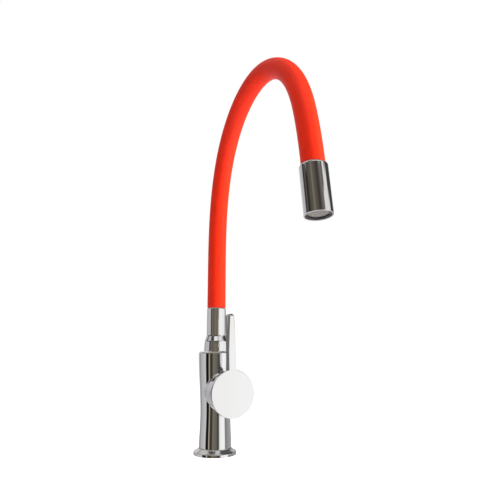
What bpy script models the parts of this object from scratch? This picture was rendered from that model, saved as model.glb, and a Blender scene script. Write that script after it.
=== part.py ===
"""A flexible kitchen faucet.

A chromed body carries a side barrel with a ceramic-disc cartridge and a flat disc handle
with an upright lever. On top turns a neck with a silicone-covered gooseneck hose, which
keeps the bend it is given and ends in a chromed nozzle with an aerator.

The origin is on the worktop, on the body's axis. +Z is up, and the barrel, the handle and
the spout point to -Y. Pieces on the barrel are drawn in the frame of the empty barrel_axis,
whose +Z runs out of the barrel and whose +Y is up. Pieces of the nozzle are drawn in the
frame of nozzle_axis, whose +Z runs with the water.
"""

import math

import bmesh
import bpy
import numpy as np

MM = 0.001

# Fits
GAP = 0.3 * MM  # left between pieces that touch
OVERRUN = 2.0 * MM  # how far a cutter runs past the face it opens
MERGE = 0.001 * MM

# Facets of turned pieces
FINE_COUNT = 36
ROUND_COUNT = 22
SMALL_COUNT = 16

# Worktop that the faucet is clamped to
WORKTOP_THICKNESS = 30.0 * MM

# Body casting
BODY_HEIGHT = 118.0 * MM
BODY_TOP_R = 20.8 * MM
BODY_WAIST_R = 18.2 * MM
BODY_WAIST_HEIGHT = 45.0 * MM
BODY_FOOT_R = 19.4 * MM
BODY_SPIGOT_R = 17.5 * MM
BODY_SPIGOT_BOTTOM = 2.6 * MM
BODY_TOP_ROUNDING = 2.4 * MM
BARREL_AXIS_HEIGHT = 71.5 * MM
BARREL_R = 20.0 * MM
BARREL_ROOT_R = 17.6 * MM
BARREL_ROOT_DEPTH = 2.0 * MM
BARREL_ROOT_LENGTH = 11.0 * MM
BARREL_REACH = 38.5 * MM
BARREL_EDGE = 0.6 * MM
BARREL_WALL = 2.5 * MM
CHAMBER_FLOOR = 9.5 * MM

# Waterways
INLET_SPREAD = 16.0 * MM
INLET_FORWARD = 4.0 * MM
INLET_THREAD_R = 4.6 * MM
INLET_THREAD_DEPTH = 12.0 * MM
INLET_BOSS_R = 6.6 * MM
INLET_BOSS_HEIGHT = 1.0 * MM
SUPPLY_R = 3.0 * MM
PORT_R = 3.2 * MM
PORT_SPREAD = 15.0 * MM
PORT_DROP = 5.5 * MM
OUTLET_PORT_RISE = 7.0 * MM
OUTLET_R = 4.5 * MM

# Base ring and its gasket
BASE_R = 25.5 * MM
BASE_HEIGHT = 8.0 * MM
BASE_EDGE_HEIGHT = 3.0 * MM
BASE_CLEAR_OF_WORKTOP = 0.5 * MM
BASE_RIM_WALL = 1.6 * MM
BASE_INNER_WALL = 0.9 * MM
GASKET_THICKNESS = 2.2 * MM

# Spout socket in the body's top
SOCKET_R = 10.0 * MM
SOCKET_DEPTH = 25.0 * MM
SLIP_RING_WIDTH = 2.6 * MM
SLIP_RING_THICKNESS = 1.6 * MM

# Neck that turns in the socket
NECK_LENGTH = 52.6 * MM
NECK_R = 11.7 * MM
NECK_BULGE = 0.05 * MM
NECK_FOOT_R = 13.8 * MM
NECK_FOOT_HEIGHT = 10.8 * MM
NECK_FLARE_HEIGHT = 7.7 * MM
NECK_SKIRT_R = 14.5 * MM
NECK_RIM_R = 14.8 * MM
NECK_RIM_HEIGHT = 2.2 * MM
NECK_EDGE = 0.5 * MM
NECK_BORE_R = 5.5 * MM
NECK_CUP_DEPTH = 24.6 * MM
O_RING_SECTION_R = 0.65 * MM
O_RING_GROOVE_WIDTH = 2.4 * MM
O_RING_GROOVE_DEPTH = 1.6 * MM
O_RING_HEIGHTS = (3.4 * MM, 8.0 * MM)  # groove centres above the neck's lower end
LOCK_GROOVE_DEPTH = 1.7 * MM
LOCK_GROOVE_WIDTH = 3.6 * MM
LOCK_DROP = 10.0 * MM  # the locking screw's axis below the body's top
LOCK_SCREW_R = 1.9 * MM
LOCK_NOSE_R = 1.4 * MM
LOCK_NOSE_LENGTH = 2.0 * MM
LOCK_SCREW_RECESS = 1.0 * MM
HEX_SOCKET_SHARE = 0.55
HEX_SOCKET_DEPTH = 1.8 * MM

# Flexible spout
HOSE_LENGTH = 508.7 * MM  # along its centre line, from the neck's top to the nozzle's top
HOSE_ANGLES = (0.0, 1.2, 12.4, 35.7, 72.8, 124.0, 161.9, 173.3)  # degrees from straight up
HOSE_STEP = 2.0 * MM
LOWER_BEND_SHARE = 0.5  # the part of the hose that bends from the neck
SLEEVE_R = 11.4 * MM
SLEEVE_BORE_R = 8.3 * MM
SLEEVE_IN_NOZZLE = 5.6 * MM
HOSE_PITCH = 14.0 * MM  # of the sleeve, the bores and the water tube
CORE_RIB_R = 7.5 * MM
CORE_GROOVE_R = 6.9 * MM
CORE_BORE_R = 5.6 * MM
CORE_PITCH = 13.0 * MM
CORE_RIB_SHARE = 0.6
CORE_IN_NECK = 20.6 * MM
CORE_IN_NOZZLE = 16.0 * MM
TUBE_R = 4.9 * MM
TUBE_BORE_R = 3.5 * MM
TUBE_END_SETBACK = 1.0 * MM  # from the core's end to the water tube's end
END_CLEAR_R = 0.4 * MM

# Hose inserts that hold the core in the neck and in the nozzle
INSERT_FLANGE = 3.4 * MM
INSERT_NIPPLE_LENGTH = 13.0 * MM
INSERT_TAIL_LENGTH = 9.0 * MM
INSERT_BORE_R = 2.0 * MM
BARB_COUNT = 3
BARB_HEIGHT = 0.3 * MM

# Nozzle
NOZZLE_LENGTH = 49.6 * MM
NOZZLE_R = 13.5 * MM
NOZZLE_SHOULDER = 1.8 * MM
NOZZLE_RIM_WALL = 1.3 * MM
NOZZLE_RIM_EDGE = 0.3 * MM
NOZZLE_CUP_DEPTH = 20.0 * MM
NOZZLE_WAY_R = 6.0 * MM
THREAD_RELIEF = 0.4 * MM

# Aerator
AERATOR_BORE_DEPTH = 22.15 * MM  # from the nozzle's rim to the seat of the seal
AERATOR_RECESS = 0.9 * MM
AERATOR_WALL = 1.0 * MM
AERATOR_LIP = 0.6 * MM
AERATOR_LIP_HEIGHT = 1.0 * MM
AERATOR_SEAL_THICKNESS = 2.0 * MM
AERATOR_SEAL_WIDTH = 3.6 * MM
JET_PLATE_THICKNESS = 8.0 * MM
JET_HOLE_R = 0.9 * MM
JET_CIRCLE_R = 5.6 * MM
JET_COUNT = 8
JET_OFFSET_SHARE = 0.37
SCREEN_THICKNESS = 0.6 * MM
SCREEN_PITCH = 2.5 * MM
SCREEN_HOLE = 1.8 * MM

# Cartridge, along the barrel from its floor
SEAL_SECTION = 1.2 * MM
SEAL_WALL = 1.2 * MM
SEAL_SEAT_DEPTH = 1.0 * MM
CARTRIDGE_BASE_THICKNESS = 2.6 * MM
CARTRIDGE_PORT_R = 2.8 * MM
HOUSING_SHOULDER = 27.0 * MM  # its height in the barrel frame, where the nut presses
HOUSING_TOP = 32.6 * MM
HOUSING_WALL = 3.2 * MM
HOUSING_NECK_WALL = 1.8 * MM
HOUSING_LIP = 2.0 * MM
HOUSING_LIP_HEIGHT = 1.3 * MM
CERAMIC_THICKNESS = 2.3 * MM
CERAMIC_PORT_R = 2.2 * MM
MOVING_CERAMIC_R = 9.5 * MM
MIXING_POCKET_DEPTH = 1.0 * MM
MIXING_POCKET_WIDTH = 11.0 * MM
MIXING_POCKET_HEIGHT = 12.0 * MM
SLIDER_THICKNESS = 3.0 * MM
SLIDER_WIDTH = 17.0 * MM
CARRIER_R = 11.2 * MM
CARRIER_TOP = 31.0 * MM
PIVOT_HEIGHT = 26.0 * MM  # the lever's pivot, in the barrel frame
PIVOT_PIN_R = 1.5 * MM
PIVOT_PIN_LENGTH = 20.0 * MM
TILT_RANGE = math.radians(20.0)

# Lever spindle
SPINDLE_WIDTH = 7.0 * MM
SPINDLE_TOP = 45.0 * MM
SPINDLE_ARM = 5.7 * MM  # from the pivot to the ball
SPINDLE_BALL_R = 1.6 * MM
SPINDLE_NECK_R = 1.2 * MM
SPINDLE_EDGE = 0.5 * MM

# Cartridge nut and trim ring
NUT_THICKNESS = 5.0 * MM
NUT_NOTCH_COUNT = 6
NUT_NOTCH_WIDTH = 2.6 * MM
NUT_NOTCH_DEPTH = 1.6 * MM
TRIM_OPENING_R = 14.2 * MM
TRIM_RISE = 1.4 * MM
TRIM_EDGE = 0.3 * MM
TRIM_SKIRT_WALL = 2.6 * MM

# Handle
HANDLE_FACE = 49.2 * MM  # the disc's front face, from the body's axis
DISC_R = 26.6 * MM
DISC_THICKNESS = 3.5 * MM
DISC_EDGE = 0.6 * MM
BOSS_R = 6.4 * MM
BOSS_LENGTH = 9.2 * MM
SPINDLE_SOCKET_DEPTH = 9.4 * MM
STEM_TOP = 89.5 * MM  # above the disc's centre
STEM_FOOT_WIDTH = 8.6 * MM
STEM_TOP_WIDTH = 7.6 * MM
STEM_THICKNESS = 7.9 * MM
STEM_FACE_STEP = 0.1 * MM
STEM_ROOT = 5.0 * MM
STEM_TIP_ROUNDING = 2.8 * MM
STEM_EDGE = 0.5 * MM
HANDLE_SCREW_R = 1.9 * MM
HANDLE_SCREW_HEIGHT = 40.0 * MM  # in the barrel frame

# Fixing under the worktop
STUD_R = 3.9 * MM
STUD_BACK = 12.0 * MM
STUD_IN_BODY = 14.0 * MM
STUD_BELOW_WORKTOP = 32.0 * MM
STUD_CHAMFER = 0.8 * MM
STUD_SLOT_WIDTH = 1.2 * MM
STUD_SLOT_DEPTH = 1.5 * MM
CLAMP_R = 24.0 * MM
CLAMP_SLOT_R = 13.0 * MM
CLAMP_SLOT_CENTRE = 8.0 * MM
CLAMP_PAD_THICKNESS = 3.0 * MM
CLAMP_PLATE_THICKNESS = 2.5 * MM
STUD_NUT_R = 7.5 * MM
STUD_NUT_HEIGHT = 6.5 * MM
STUD_NUT_FLANGE_R = 8.6 * MM
STUD_NUT_FLANGE = 1.6 * MM

# Worked out from the above
NECK_BOTTOM = BODY_HEIGHT + GAP
NECK_TOP = BODY_HEIGHT + NECK_LENGTH
NECK_TAIL_R = SOCKET_R - GAP
NECK_TAIL_END = BODY_HEIGHT - SOCKET_DEPTH + GAP
CHAMBER_R = BARREL_R - BARREL_WALL
CARTRIDGE_R = CHAMBER_R - GAP
CERAMIC_R = CARTRIDGE_R - HOUSING_WALL - GAP
CARTRIDGE_BASE_BOTTOM = CHAMBER_FLOOR + GAP + SEAL_SECTION - SEAL_SEAT_DEPTH + GAP
CARTRIDGE_BASE_TOP = CARTRIDGE_BASE_BOTTOM + CARTRIDGE_BASE_THICKNESS
FIXED_CERAMIC_BOTTOM = CARTRIDGE_BASE_TOP + GAP
MOVING_CERAMIC_BOTTOM = FIXED_CERAMIC_BOTTOM + CERAMIC_THICKNESS + GAP
SLIDER_BOTTOM = MOVING_CERAMIC_BOTTOM + CERAMIC_THICKNESS + GAP
SLIDER_TOP = SLIDER_BOTTOM + SLIDER_THICKNESS
CARRIER_FLOOR = SLIDER_TOP + 2 * GAP
CUP_R = CORE_RIB_R + END_CLEAR_R
WORKTOP_BOTTOM = -WORKTOP_THICKNESS
NOZZLE_RECESS_R = SLEEVE_R + GAP
AERATOR_R = NOZZLE_R - NOZZLE_RIM_WALL - THREAD_RELIEF
AERATOR_SEAT = NOZZLE_LENGTH - AERATOR_BORE_DEPTH


def new_collection(name):
    collection = bpy.data.collections.new(name)
    bpy.context.scene.collection.children.link(collection)
    return collection


for old in list(bpy.data.objects):
    bpy.data.objects.remove(old)
PART = new_collection("flexible_kitchen_faucet")
CUTTERS = new_collection("cutters")


def finish(name, colour, roughness, metallic):
    """A Principled material with one colour."""
    material = bpy.data.materials.new(name)
    material.use_nodes = True
    shader = material.node_tree.nodes["Principled BSDF"]
    shader.inputs["Base Color"].default_value = (*colour, 1.0)
    shader.inputs["Roughness"].default_value = roughness
    shader.inputs["Metallic"].default_value = metallic
    return material


CHROME = finish("polished_chrome", (0.80, 0.79, 0.80), 0.06, 1.0)
BRASS = finish("brass", (0.74, 0.56, 0.28), 0.30, 1.0)
STEEL = finish("steel", (0.62, 0.62, 0.64), 0.35, 1.0)
SILICONE = finish("red_silicone", (0.95, 0.07, 0.02), 0.45, 0.0)
RUBBER = finish("black_rubber", (0.02, 0.02, 0.02), 0.60, 0.0)
PLASTIC = finish("white_plastic", (0.78, 0.78, 0.75), 0.40, 0.0)
TUBING = finish("clear_grey_tube", (0.55, 0.57, 0.58), 0.35, 0.0)
DARK_PLASTIC = finish("dark_plastic", (0.05, 0.05, 0.05), 0.35, 0.0)
CERAMIC = finish("alumina_ceramic", (0.86, 0.85, 0.82), 0.20, 0.0)
SCREEN = finish("aerator_screen", (0.40, 0.37, 0.36), 0.45, 0.6)


def empty(name, at, turn=(0.0, 0.0, 0.0), parent=None):
    """An axis or frame that pieces are parented to."""
    axis = bpy.data.objects.new(name, None)
    axis.empty_display_size = BODY_TOP_R
    axis.location = at
    axis.rotation_euler = turn
    axis.parent = parent
    PART.objects.link(axis)
    return axis


def place(name, mesh, material, parent=None, at=(0.0, 0.0, 0.0)):
    """An object of the part, or a cutter where it has no material."""
    piece = bpy.data.objects.new(name, mesh)
    piece.location = at
    piece.parent = parent
    if material:
        mesh.materials.append(material)
        PART.objects.link(piece)
    else:
        piece.hide_render = True
        piece.display_type = "WIRE"
        CUTTERS.objects.link(piece)
    return piece


def turned(name, outline, segments, material=None, parent=None, at=(0.0, 0.0, 0.0)):
    """A profile of (radius, height) points turned about +Z. It runs down the outer side first,
    and closes on itself unless it starts and ends on the axis."""
    shape = bmesh.new()
    points = [shape.verts.new((r, 0.0, z)) for r, z in outline]
    for a, b in zip(points, points[1:]):
        shape.edges.new((a, b))
    if outline[0][0] > 0:
        shape.edges.new((points[-1], points[0]))
    mesh = bpy.data.meshes.new(name)
    shape.to_mesh(mesh)
    shape.free()
    piece = place(name, mesh, material, parent, at)
    screw = piece.modifiers.new("turn", "SCREW")
    screw.steps = screw.render_steps = segments
    screw.use_merge_vertices = True
    screw.merge_threshold = MERGE
    return piece


def ring(name, outer, inner, low, high, segments, material=None, parent=None, at=(0.0, 0.0, 0.0)):
    outline = [(outer, high), (outer, low), (inner, low), (inner, high)]
    return turned(name, outline, segments, material, parent, at)


def cylinder(name, radius, low, high, segments, material=None, parent=None, at=(0.0, 0.0, 0.0)):
    outline = [(0.0, high), (radius, high), (radius, low), (0.0, low)]
    return turned(name, outline, segments, material, parent, at)


def block(name, low, high, material=None, parent=None):
    """A box from its lowest to its highest corner."""
    shape = bmesh.new()
    bmesh.ops.create_cube(shape, size=1.0)
    for vert in shape.verts:
        vert.co = [lo if c < 0 else hi for c, lo, hi in zip(vert.co, low, high)]
    mesh = bpy.data.meshes.new(name)
    shape.to_mesh(mesh)
    shape.free()
    return place(name, mesh, material, parent)


def boolean(piece, tool, operation="DIFFERENCE"):
    change = piece.modifiers.new(tool.name, "BOOLEAN")
    change.operation = operation
    change.object = tool


def smooth_share(t):
    """0 to 1 with level ends."""
    return t * t * (3.0 - 2.0 * t)


def s_curve(r_from, z_from, r_to, z_to, steps):
    """Points of a level-ended curve between two points of a profile, without the first."""
    shares = [(i + 1) / steps for i in range(steps)]
    return [(r_from + (r_to - r_from) * smooth_share(t), z_from + (z_to - z_from) * t) for t in shares]


def rounding(r, z, radius, start, steps=3):
    """Points of a quarter round about the centre (r, z), down from an angle in degrees."""
    angles = [math.radians(start - 90.0 * i / steps) for i in range(steps + 1)]
    return [(r + radius * math.cos(a), z + radius * math.sin(a)) for a in angles]


def hex_tool(name, radius, low, high, parent, at=(0.0, 0.0, 0.0), turn=(0.0, 0.0, 0.0)):
    shape = bmesh.new()
    bmesh.ops.create_cone(
        shape, cap_ends=True, segments=6, radius1=radius, radius2=radius, depth=high - low
    )
    bmesh.ops.translate(shape, verts=shape.verts, vec=(0.0, 0.0, (low + high) / 2))
    mesh = bpy.data.meshes.new(name)
    shape.to_mesh(mesh)
    shape.free()
    tool = place(name, mesh, None, parent, at)
    tool.rotation_euler = turn
    return tool


# The hose's centre line, and the pivots that its two bends turn about


def hose_line():
    """Distances along the centre line, its angles from straight up, and its (y, z) points.
    The angle runs through HOSE_ANGLES, at equal distances, on a smooth curve."""
    stations = np.radians(HOSE_ANGLES)
    slopes = np.gradient(stations)
    count = int(HOSE_LENGTH / HOSE_STEP)
    along = np.linspace(0.0, HOSE_LENGTH, count + 1)
    place_in = along / HOSE_LENGTH * (len(stations) - 1)
    left = np.minimum(place_in.astype(int), len(stations) - 2)
    t = place_in - left
    angle = (
        (2 * t**3 - 3 * t**2 + 1) * stations[left]
        + (t**3 - 2 * t**2 + t) * slopes[left]
        + (3 * t**2 - 2 * t**3) * stations[left + 1]
        + (t**3 - t**2) * slopes[left + 1]
    )
    step = HOSE_LENGTH / count
    middle = (angle[1:] + angle[:-1]) / 2
    y = -np.concatenate([[0.0], np.cumsum(np.sin(middle) * step)])
    z = NECK_TOP + np.concatenate([[0.0], np.cumsum(np.cos(middle) * step)])
    return along, angle, y, z


ALONG, ANGLE, LINE_Y, LINE_Z = hose_line()
END_ANGLE = float(ANGLE[-1])


def hose_point(distance):
    """A point of the centre line, which runs on straight past both ends."""
    if distance <= 0:
        return (0.0, 0.0, NECK_TOP + distance)
    past = max(distance - HOSE_LENGTH, 0.0)
    y = float(np.interp(distance, ALONG, LINE_Y)) - past * math.sin(END_ANGLE)
    z = float(np.interp(distance, ALONG, LINE_Z)) + past * math.cos(END_ANGLE)
    return (0.0, y, z)


def pivot(share_from, share_to):
    """The middle of a stretch of the hose, which it turns about when it is bent."""
    inside = (ALONG >= share_from * HOSE_LENGTH) & (ALONG <= share_to * HOSE_LENGTH)
    return np.array([0.0, LINE_Y[inside].mean(), LINE_Z[inside].mean()])


LOWER_PIVOT = pivot(0.0, LOWER_BEND_SHARE)
UPPER_PIVOT = pivot(LOWER_BEND_SHARE, 1.0)
HOSE_END = np.array(hose_point(HOSE_LENGTH))

SWIVEL = empty("swivel_axis", (0.0, 0.0, 0.0))
LOWER_BEND = empty("lower_bend_axis", LOWER_PIVOT, parent=SWIVEL)
UPPER_BEND = empty("upper_bend_axis", UPPER_PIVOT - LOWER_PIVOT, parent=LOWER_BEND)
NOZZLE = empty("nozzle_axis", HOSE_END - UPPER_PIVOT, (END_ANGLE, 0.0, 0.0), UPPER_BEND)
BARREL = empty("barrel_axis", (0.0, 0.0, BARREL_AXIS_HEIGHT), (math.radians(90.0), 0.0, 0.0))
TILT = empty("tilt_axis", (0.0, 0.0, PIVOT_HEIGHT), parent=BARREL)


def rod(name, distances, radii, resolution):
    """A solid rod along the hose's line, as a mesh with its caps welded."""
    curve = bpy.data.curves.new(name, "CURVE")
    curve.dimensions = "3D"
    curve.bevel_depth = max(radii)
    curve.bevel_resolution = resolution
    curve.use_fill_caps = True
    spline = curve.splines.new("POLY")
    spline.points.add(len(distances) - 1)
    for point, distance, radius in zip(spline.points, distances, radii):
        point.co = (*hose_point(distance), 1.0)
        point.radius = radius / curve.bevel_depth
    guide = bpy.data.objects.new(name + "_line", curve)
    CUTTERS.objects.link(guide)
    evaluated = guide.evaluated_get(bpy.context.evaluated_depsgraph_get())
    mesh = bpy.data.meshes.new_from_object(evaluated)
    bpy.data.objects.remove(guide)
    shape = bmesh.new()
    shape.from_mesh(mesh)
    bmesh.ops.remove_doubles(shape, verts=shape.verts, dist=MERGE)
    shape.to_mesh(mesh)
    shape.free()
    return mesh


def stations(start, end, pitch):
    """Even distances along the hose from start to end, about a pitch apart."""
    count = max(2, round((end - start) / pitch))
    return [start + (end - start) * i / count for i in range(count + 1)]


def hollow_hose(name, distances, radii, bore_r, bore_pitch, resolution, material):
    """A tube along the hose's line. Its bore is a plainer rod, cut out."""
    at = tuple(-LOWER_PIVOT)
    piece = place(name, rod(name, distances, radii, resolution), material, LOWER_BEND, at)
    bore = stations(distances[0] - OVERRUN, distances[-1] + OVERRUN, bore_pitch)
    tool = rod(name + "_bore", bore, [bore_r] * len(bore), 2)
    boolean(piece, place(name + "_bore", tool, None, LOWER_BEND, at))
    return piece


def hose_sleeve():
    line = stations(GAP, HOSE_LENGTH + SLEEVE_IN_NOZZLE, HOSE_PITCH)
    radii = [SLEEVE_R] * len(line)
    hollow_hose("hose_sleeve", line, radii, SLEEVE_BORE_R, HOSE_PITCH, 4, SILICONE)


def gooseneck_core():
    """The interlocked steel strip that keeps the hose's shape: a rib for each turn."""
    start, end = -CORE_IN_NECK, HOSE_LENGTH + CORE_IN_NOZZLE
    turns = stations(start, end, CORE_PITCH)
    distances, radii = [], []
    for a, b in zip(turns, turns[1:]):
        distances += [a, a + (b - a) * CORE_RIB_SHARE]
        radii += [CORE_RIB_R, CORE_GROOVE_R]
    distances.append(end)
    radii.append(CORE_RIB_R)
    hollow_hose("gooseneck_core", distances, radii, CORE_BORE_R, HOSE_PITCH, 2, STEEL)


def water_tube():
    start = TUBE_END_SETBACK - CORE_IN_NECK
    end = HOSE_LENGTH + CORE_IN_NOZZLE - TUBE_END_SETBACK
    line = stations(start, end, HOSE_PITCH)
    hollow_hose("water_tube", line, [TUBE_R] * len(line), TUBE_BORE_R, HOSE_PITCH, 2, TUBING)


# Body and base


def body_outline():
    """The casting's outer side, from its top down to the underside."""
    shoulder = BASE_HEIGHT + GAP
    outline = [(0.0, BODY_HEIGHT)]
    outline += rounding(
        BODY_TOP_R - BODY_TOP_ROUNDING, BODY_HEIGHT - BODY_TOP_ROUNDING, BODY_TOP_ROUNDING, 90.0
    )
    straight = BODY_HEIGHT - BODY_TOP_ROUNDING
    outline += s_curve(BODY_TOP_R, straight, BODY_WAIST_R, BODY_WAIST_HEIGHT, 5)
    outline += s_curve(BODY_WAIST_R, BODY_WAIST_HEIGHT, BODY_FOOT_R, shoulder, 4)
    outline += [(BODY_SPIGOT_R, shoulder), (BODY_SPIGOT_R, BODY_SPIGOT_BOTTOM)]
    return outline + [(0.0, BODY_SPIGOT_BOTTOM)]


def barrel_outline():
    root = -BARREL_ROOT_DEPTH
    return [
        (0.0, BARREL_REACH),
        (BARREL_R - BARREL_EDGE, BARREL_REACH),
        (BARREL_R, BARREL_REACH - BARREL_EDGE),
        (BARREL_R, root + BARREL_ROOT_LENGTH),
        (BARREL_ROOT_R, root),
        (0.0, root),
    ]


def valve_body():
    body = turned("valve_body", body_outline(), FINE_COUNT, CHROME)
    boolean(body, turned("barrel_shape", barrel_outline(), FINE_COUNT, parent=BARREL), "UNION")
    boss_end = BODY_SPIGOT_BOTTOM - INLET_BOSS_HEIGHT
    for side, word in ((-1, "hot"), (1, "cold")):
        at = (side * INLET_SPREAD / 2, -INLET_FORWARD, 0.0)
        top = BODY_SPIGOT_BOTTOM + OVERRUN
        boss = cylinder(word + "_boss", INLET_BOSS_R, boss_end, top, ROUND_COUNT, at=at)
        boolean(body, boss, "UNION")
    chamber = cylinder(
        "chamber", CHAMBER_R, CHAMBER_FLOOR, BARREL_REACH + OVERRUN, ROUND_COUNT, parent=BARREL
    )
    boolean(body, chamber)
    boolean(body, turned("socket", socket_outline(), ROUND_COUNT))
    for side, word in ((-1, "hot"), (1, "cold")):
        at = (side * INLET_SPREAD / 2, -INLET_FORWARD, 0.0)
        boolean(body, turned(word + "_inlet", inlet_outline(boss_end), SMALL_COUNT, at=at))
        at = (side * PORT_SPREAD / 2, -PORT_DROP, 0.0)
        back = INLET_FORWARD - PORT_R
        front = CHAMBER_FLOOR + OVERRUN
        port = cylinder(word + "_port", PORT_R, back, front, SMALL_COUNT, parent=BARREL, at=at)
        boolean(body, port)
    at = (0.0, OUTLET_PORT_RISE, 0.0)
    front = CHAMBER_FLOOR + OVERRUN
    boolean(body, cylinder("outlet_port", PORT_R, 0.0, front, SMALL_COUNT, parent=BARREL, at=at))
    stud_hole_top = BODY_SPIGOT_BOTTOM + STUD_IN_BODY + GAP
    bottom = BODY_SPIGOT_BOTTOM - OVERRUN
    at = (0.0, STUD_BACK, 0.0)
    boolean(body, cylinder("stud_hole", STUD_R + GAP, bottom, stud_hole_top, SMALL_COUNT, at=at))
    hole = cylinder("lock_hole", LOCK_SCREW_R + GAP, 0.0, BODY_TOP_R + OVERRUN, SMALL_COUNT)
    hole.location.z = BODY_HEIGHT - LOCK_DROP
    hole.rotation_euler.x = math.radians(-90.0)
    boolean(body, hole)


def socket_outline():
    """The bore that the neck turns in, with the slip ring's recess and the way up from the disc."""
    recess_r = SOCKET_R + SLIP_RING_WIDTH + 2 * GAP
    recess = BODY_HEIGHT - SLIP_RING_THICKNESS - GAP
    bottom = BODY_HEIGHT - SOCKET_DEPTH
    low = BARREL_AXIS_HEIGHT + OUTLET_PORT_RISE - PORT_R / 2
    return [
        (0.0, BODY_HEIGHT + OVERRUN),
        (recess_r, BODY_HEIGHT + OVERRUN),
        (recess_r, recess),
        (SOCKET_R, recess),
        (SOCKET_R, bottom),
        (OUTLET_R, bottom),
        (OUTLET_R, low),
        (0.0, low),
    ]


def inlet_outline(boss_end):
    top = BARREL_AXIS_HEIGHT - PORT_DROP + PORT_R / 2
    thread_top = boss_end + INLET_THREAD_DEPTH
    return [
        (0.0, top),
        (SUPPLY_R, top),
        (SUPPLY_R, thread_top),
        (INLET_THREAD_R, thread_top),
        (INLET_THREAD_R, boss_end - OVERRUN),
        (0.0, boss_end - OVERRUN),
    ]


def base_ring():
    """The chromed flange round the body's foot, hollow below for the gasket."""
    inner = BODY_SPIGOT_R + GAP
    foot = BODY_FOOT_R + GAP
    groove_in, groove_out = inner + BASE_INNER_WALL, BASE_R - BASE_RIM_WALL
    groove_top = GASKET_THICKNESS + GAP
    outline = [(foot, BASE_HEIGHT)]
    outline += s_curve(foot, BASE_HEIGHT, BASE_R, BASE_EDGE_HEIGHT, 5)
    outline += [
        (BASE_R, BASE_CLEAR_OF_WORKTOP),
        (groove_out, BASE_CLEAR_OF_WORKTOP),
        (groove_out, groove_top),
        (groove_in, groove_top),
        (groove_in, BASE_CLEAR_OF_WORKTOP),
        (inner, BASE_CLEAR_OF_WORKTOP),
        (inner, BASE_HEIGHT),
    ]
    turned("base_ring", outline, FINE_COUNT, CHROME)
    ring(
        "base_gasket", groove_out - GAP, groove_in + GAP, 0.0, GASKET_THICKNESS, FINE_COUNT, RUBBER
    )


def slip_ring():
    """The plastic washer that the neck turns on."""
    inner = SOCKET_R + GAP
    low = BODY_HEIGHT - SLIP_RING_THICKNESS
    ring("slip_ring", inner + SLIP_RING_WIDTH, inner, low, BODY_HEIGHT, ROUND_COUNT, PLASTIC)


def lock_screw():
    """The grub screw at the back, whose nose runs in the neck's groove."""
    length = BODY_TOP_R - LOCK_SCREW_RECESS - SOCKET_R - GAP
    nose = -LOCK_NOSE_LENGTH
    outline = [
        (0.0, length),
        (LOCK_SCREW_R, length),
        (LOCK_SCREW_R, 0.0),
        (LOCK_NOSE_R, 0.0),
        (LOCK_NOSE_R, nose),
        (0.0, nose),
    ]
    turn = (math.radians(-90.0), 0.0, 0.0)
    at = (0.0, SOCKET_R + GAP, BODY_HEIGHT - LOCK_DROP)
    screw = turned("swivel_lock_screw", outline, SMALL_COUNT, STEEL, at=at)
    screw.rotation_euler = turn
    key = LOCK_SCREW_R * HEX_SOCKET_SHARE
    boolean(
        screw,
        hex_tool("lock_key", key, length - HEX_SOCKET_DEPTH, length + OVERRUN, None, at, turn),
    )


# Neck


def neck_grooves():
    """The tail's outer side, from the locking groove down, with its two O-ring grooves."""
    lock = BODY_HEIGHT - LOCK_DROP
    grooves = [(lock, LOCK_GROOVE_WIDTH, LOCK_GROOVE_DEPTH)]
    for height in reversed(O_RING_HEIGHTS):
        grooves.append((NECK_TAIL_END + height, O_RING_GROOVE_WIDTH, O_RING_GROOVE_DEPTH))
    outline = []
    for centre, width, depth in grooves:
        high, low, bottom = centre + width / 2, centre - width / 2, NECK_TAIL_R - depth
        outline += [(NECK_TAIL_R, high), (bottom, high), (bottom, low), (NECK_TAIL_R, low)]
    return outline


def neck():
    foot_top = NECK_BOTTOM + NECK_FOOT_HEIGHT
    flare_top = foot_top + NECK_FLARE_HEIGHT
    middle = (flare_top + NECK_TOP) / 2
    rim_top = NECK_BOTTOM + NECK_RIM_HEIGHT
    outline = [
        (NECK_R - NECK_EDGE, NECK_TOP),
        (NECK_R, NECK_TOP - NECK_EDGE),
        (NECK_R + NECK_BULGE, middle),
        (NECK_R, flare_top),
    ]
    outline += s_curve(NECK_R, flare_top, NECK_FOOT_R, foot_top, 5)
    outline += [
        (NECK_SKIRT_R, rim_top + NECK_EDGE),
        (NECK_RIM_R, rim_top),
        (NECK_RIM_R, NECK_BOTTOM + NECK_EDGE),
        (NECK_RIM_R - NECK_EDGE, NECK_BOTTOM),
        (NECK_TAIL_R, NECK_BOTTOM),
    ]
    outline += neck_grooves()
    cup = NECK_TOP - NECK_CUP_DEPTH
    outline += [
        (NECK_TAIL_R, NECK_TAIL_END + NECK_EDGE),
        (NECK_TAIL_R - NECK_EDGE, NECK_TAIL_END),
        (NECK_BORE_R, NECK_TAIL_END),
        (NECK_BORE_R, cup),
        (CUP_R, cup),
        (CUP_R, NECK_TOP),
    ]
    turned("spout_neck", outline, FINE_COUNT, CHROME, SWIVEL)


def o_rings():
    """Two rings of round section between the neck's grooves and the socket."""
    for height, word in zip(O_RING_HEIGHTS, ("lower", "upper")):
        middle = NECK_TAIL_R - O_RING_GROOVE_DEPTH + GAP + O_RING_SECTION_R
        angles = [math.radians(60.0 - 60.0 * i) for i in range(6)]
        centre = NECK_TAIL_END + height
        outline = [
            (middle + O_RING_SECTION_R * math.cos(a), centre + O_RING_SECTION_R * math.sin(a))
            for a in angles
        ]
        turned(word + "_o_ring", outline, ROUND_COUNT, RUBBER, SWIVEL)


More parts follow.
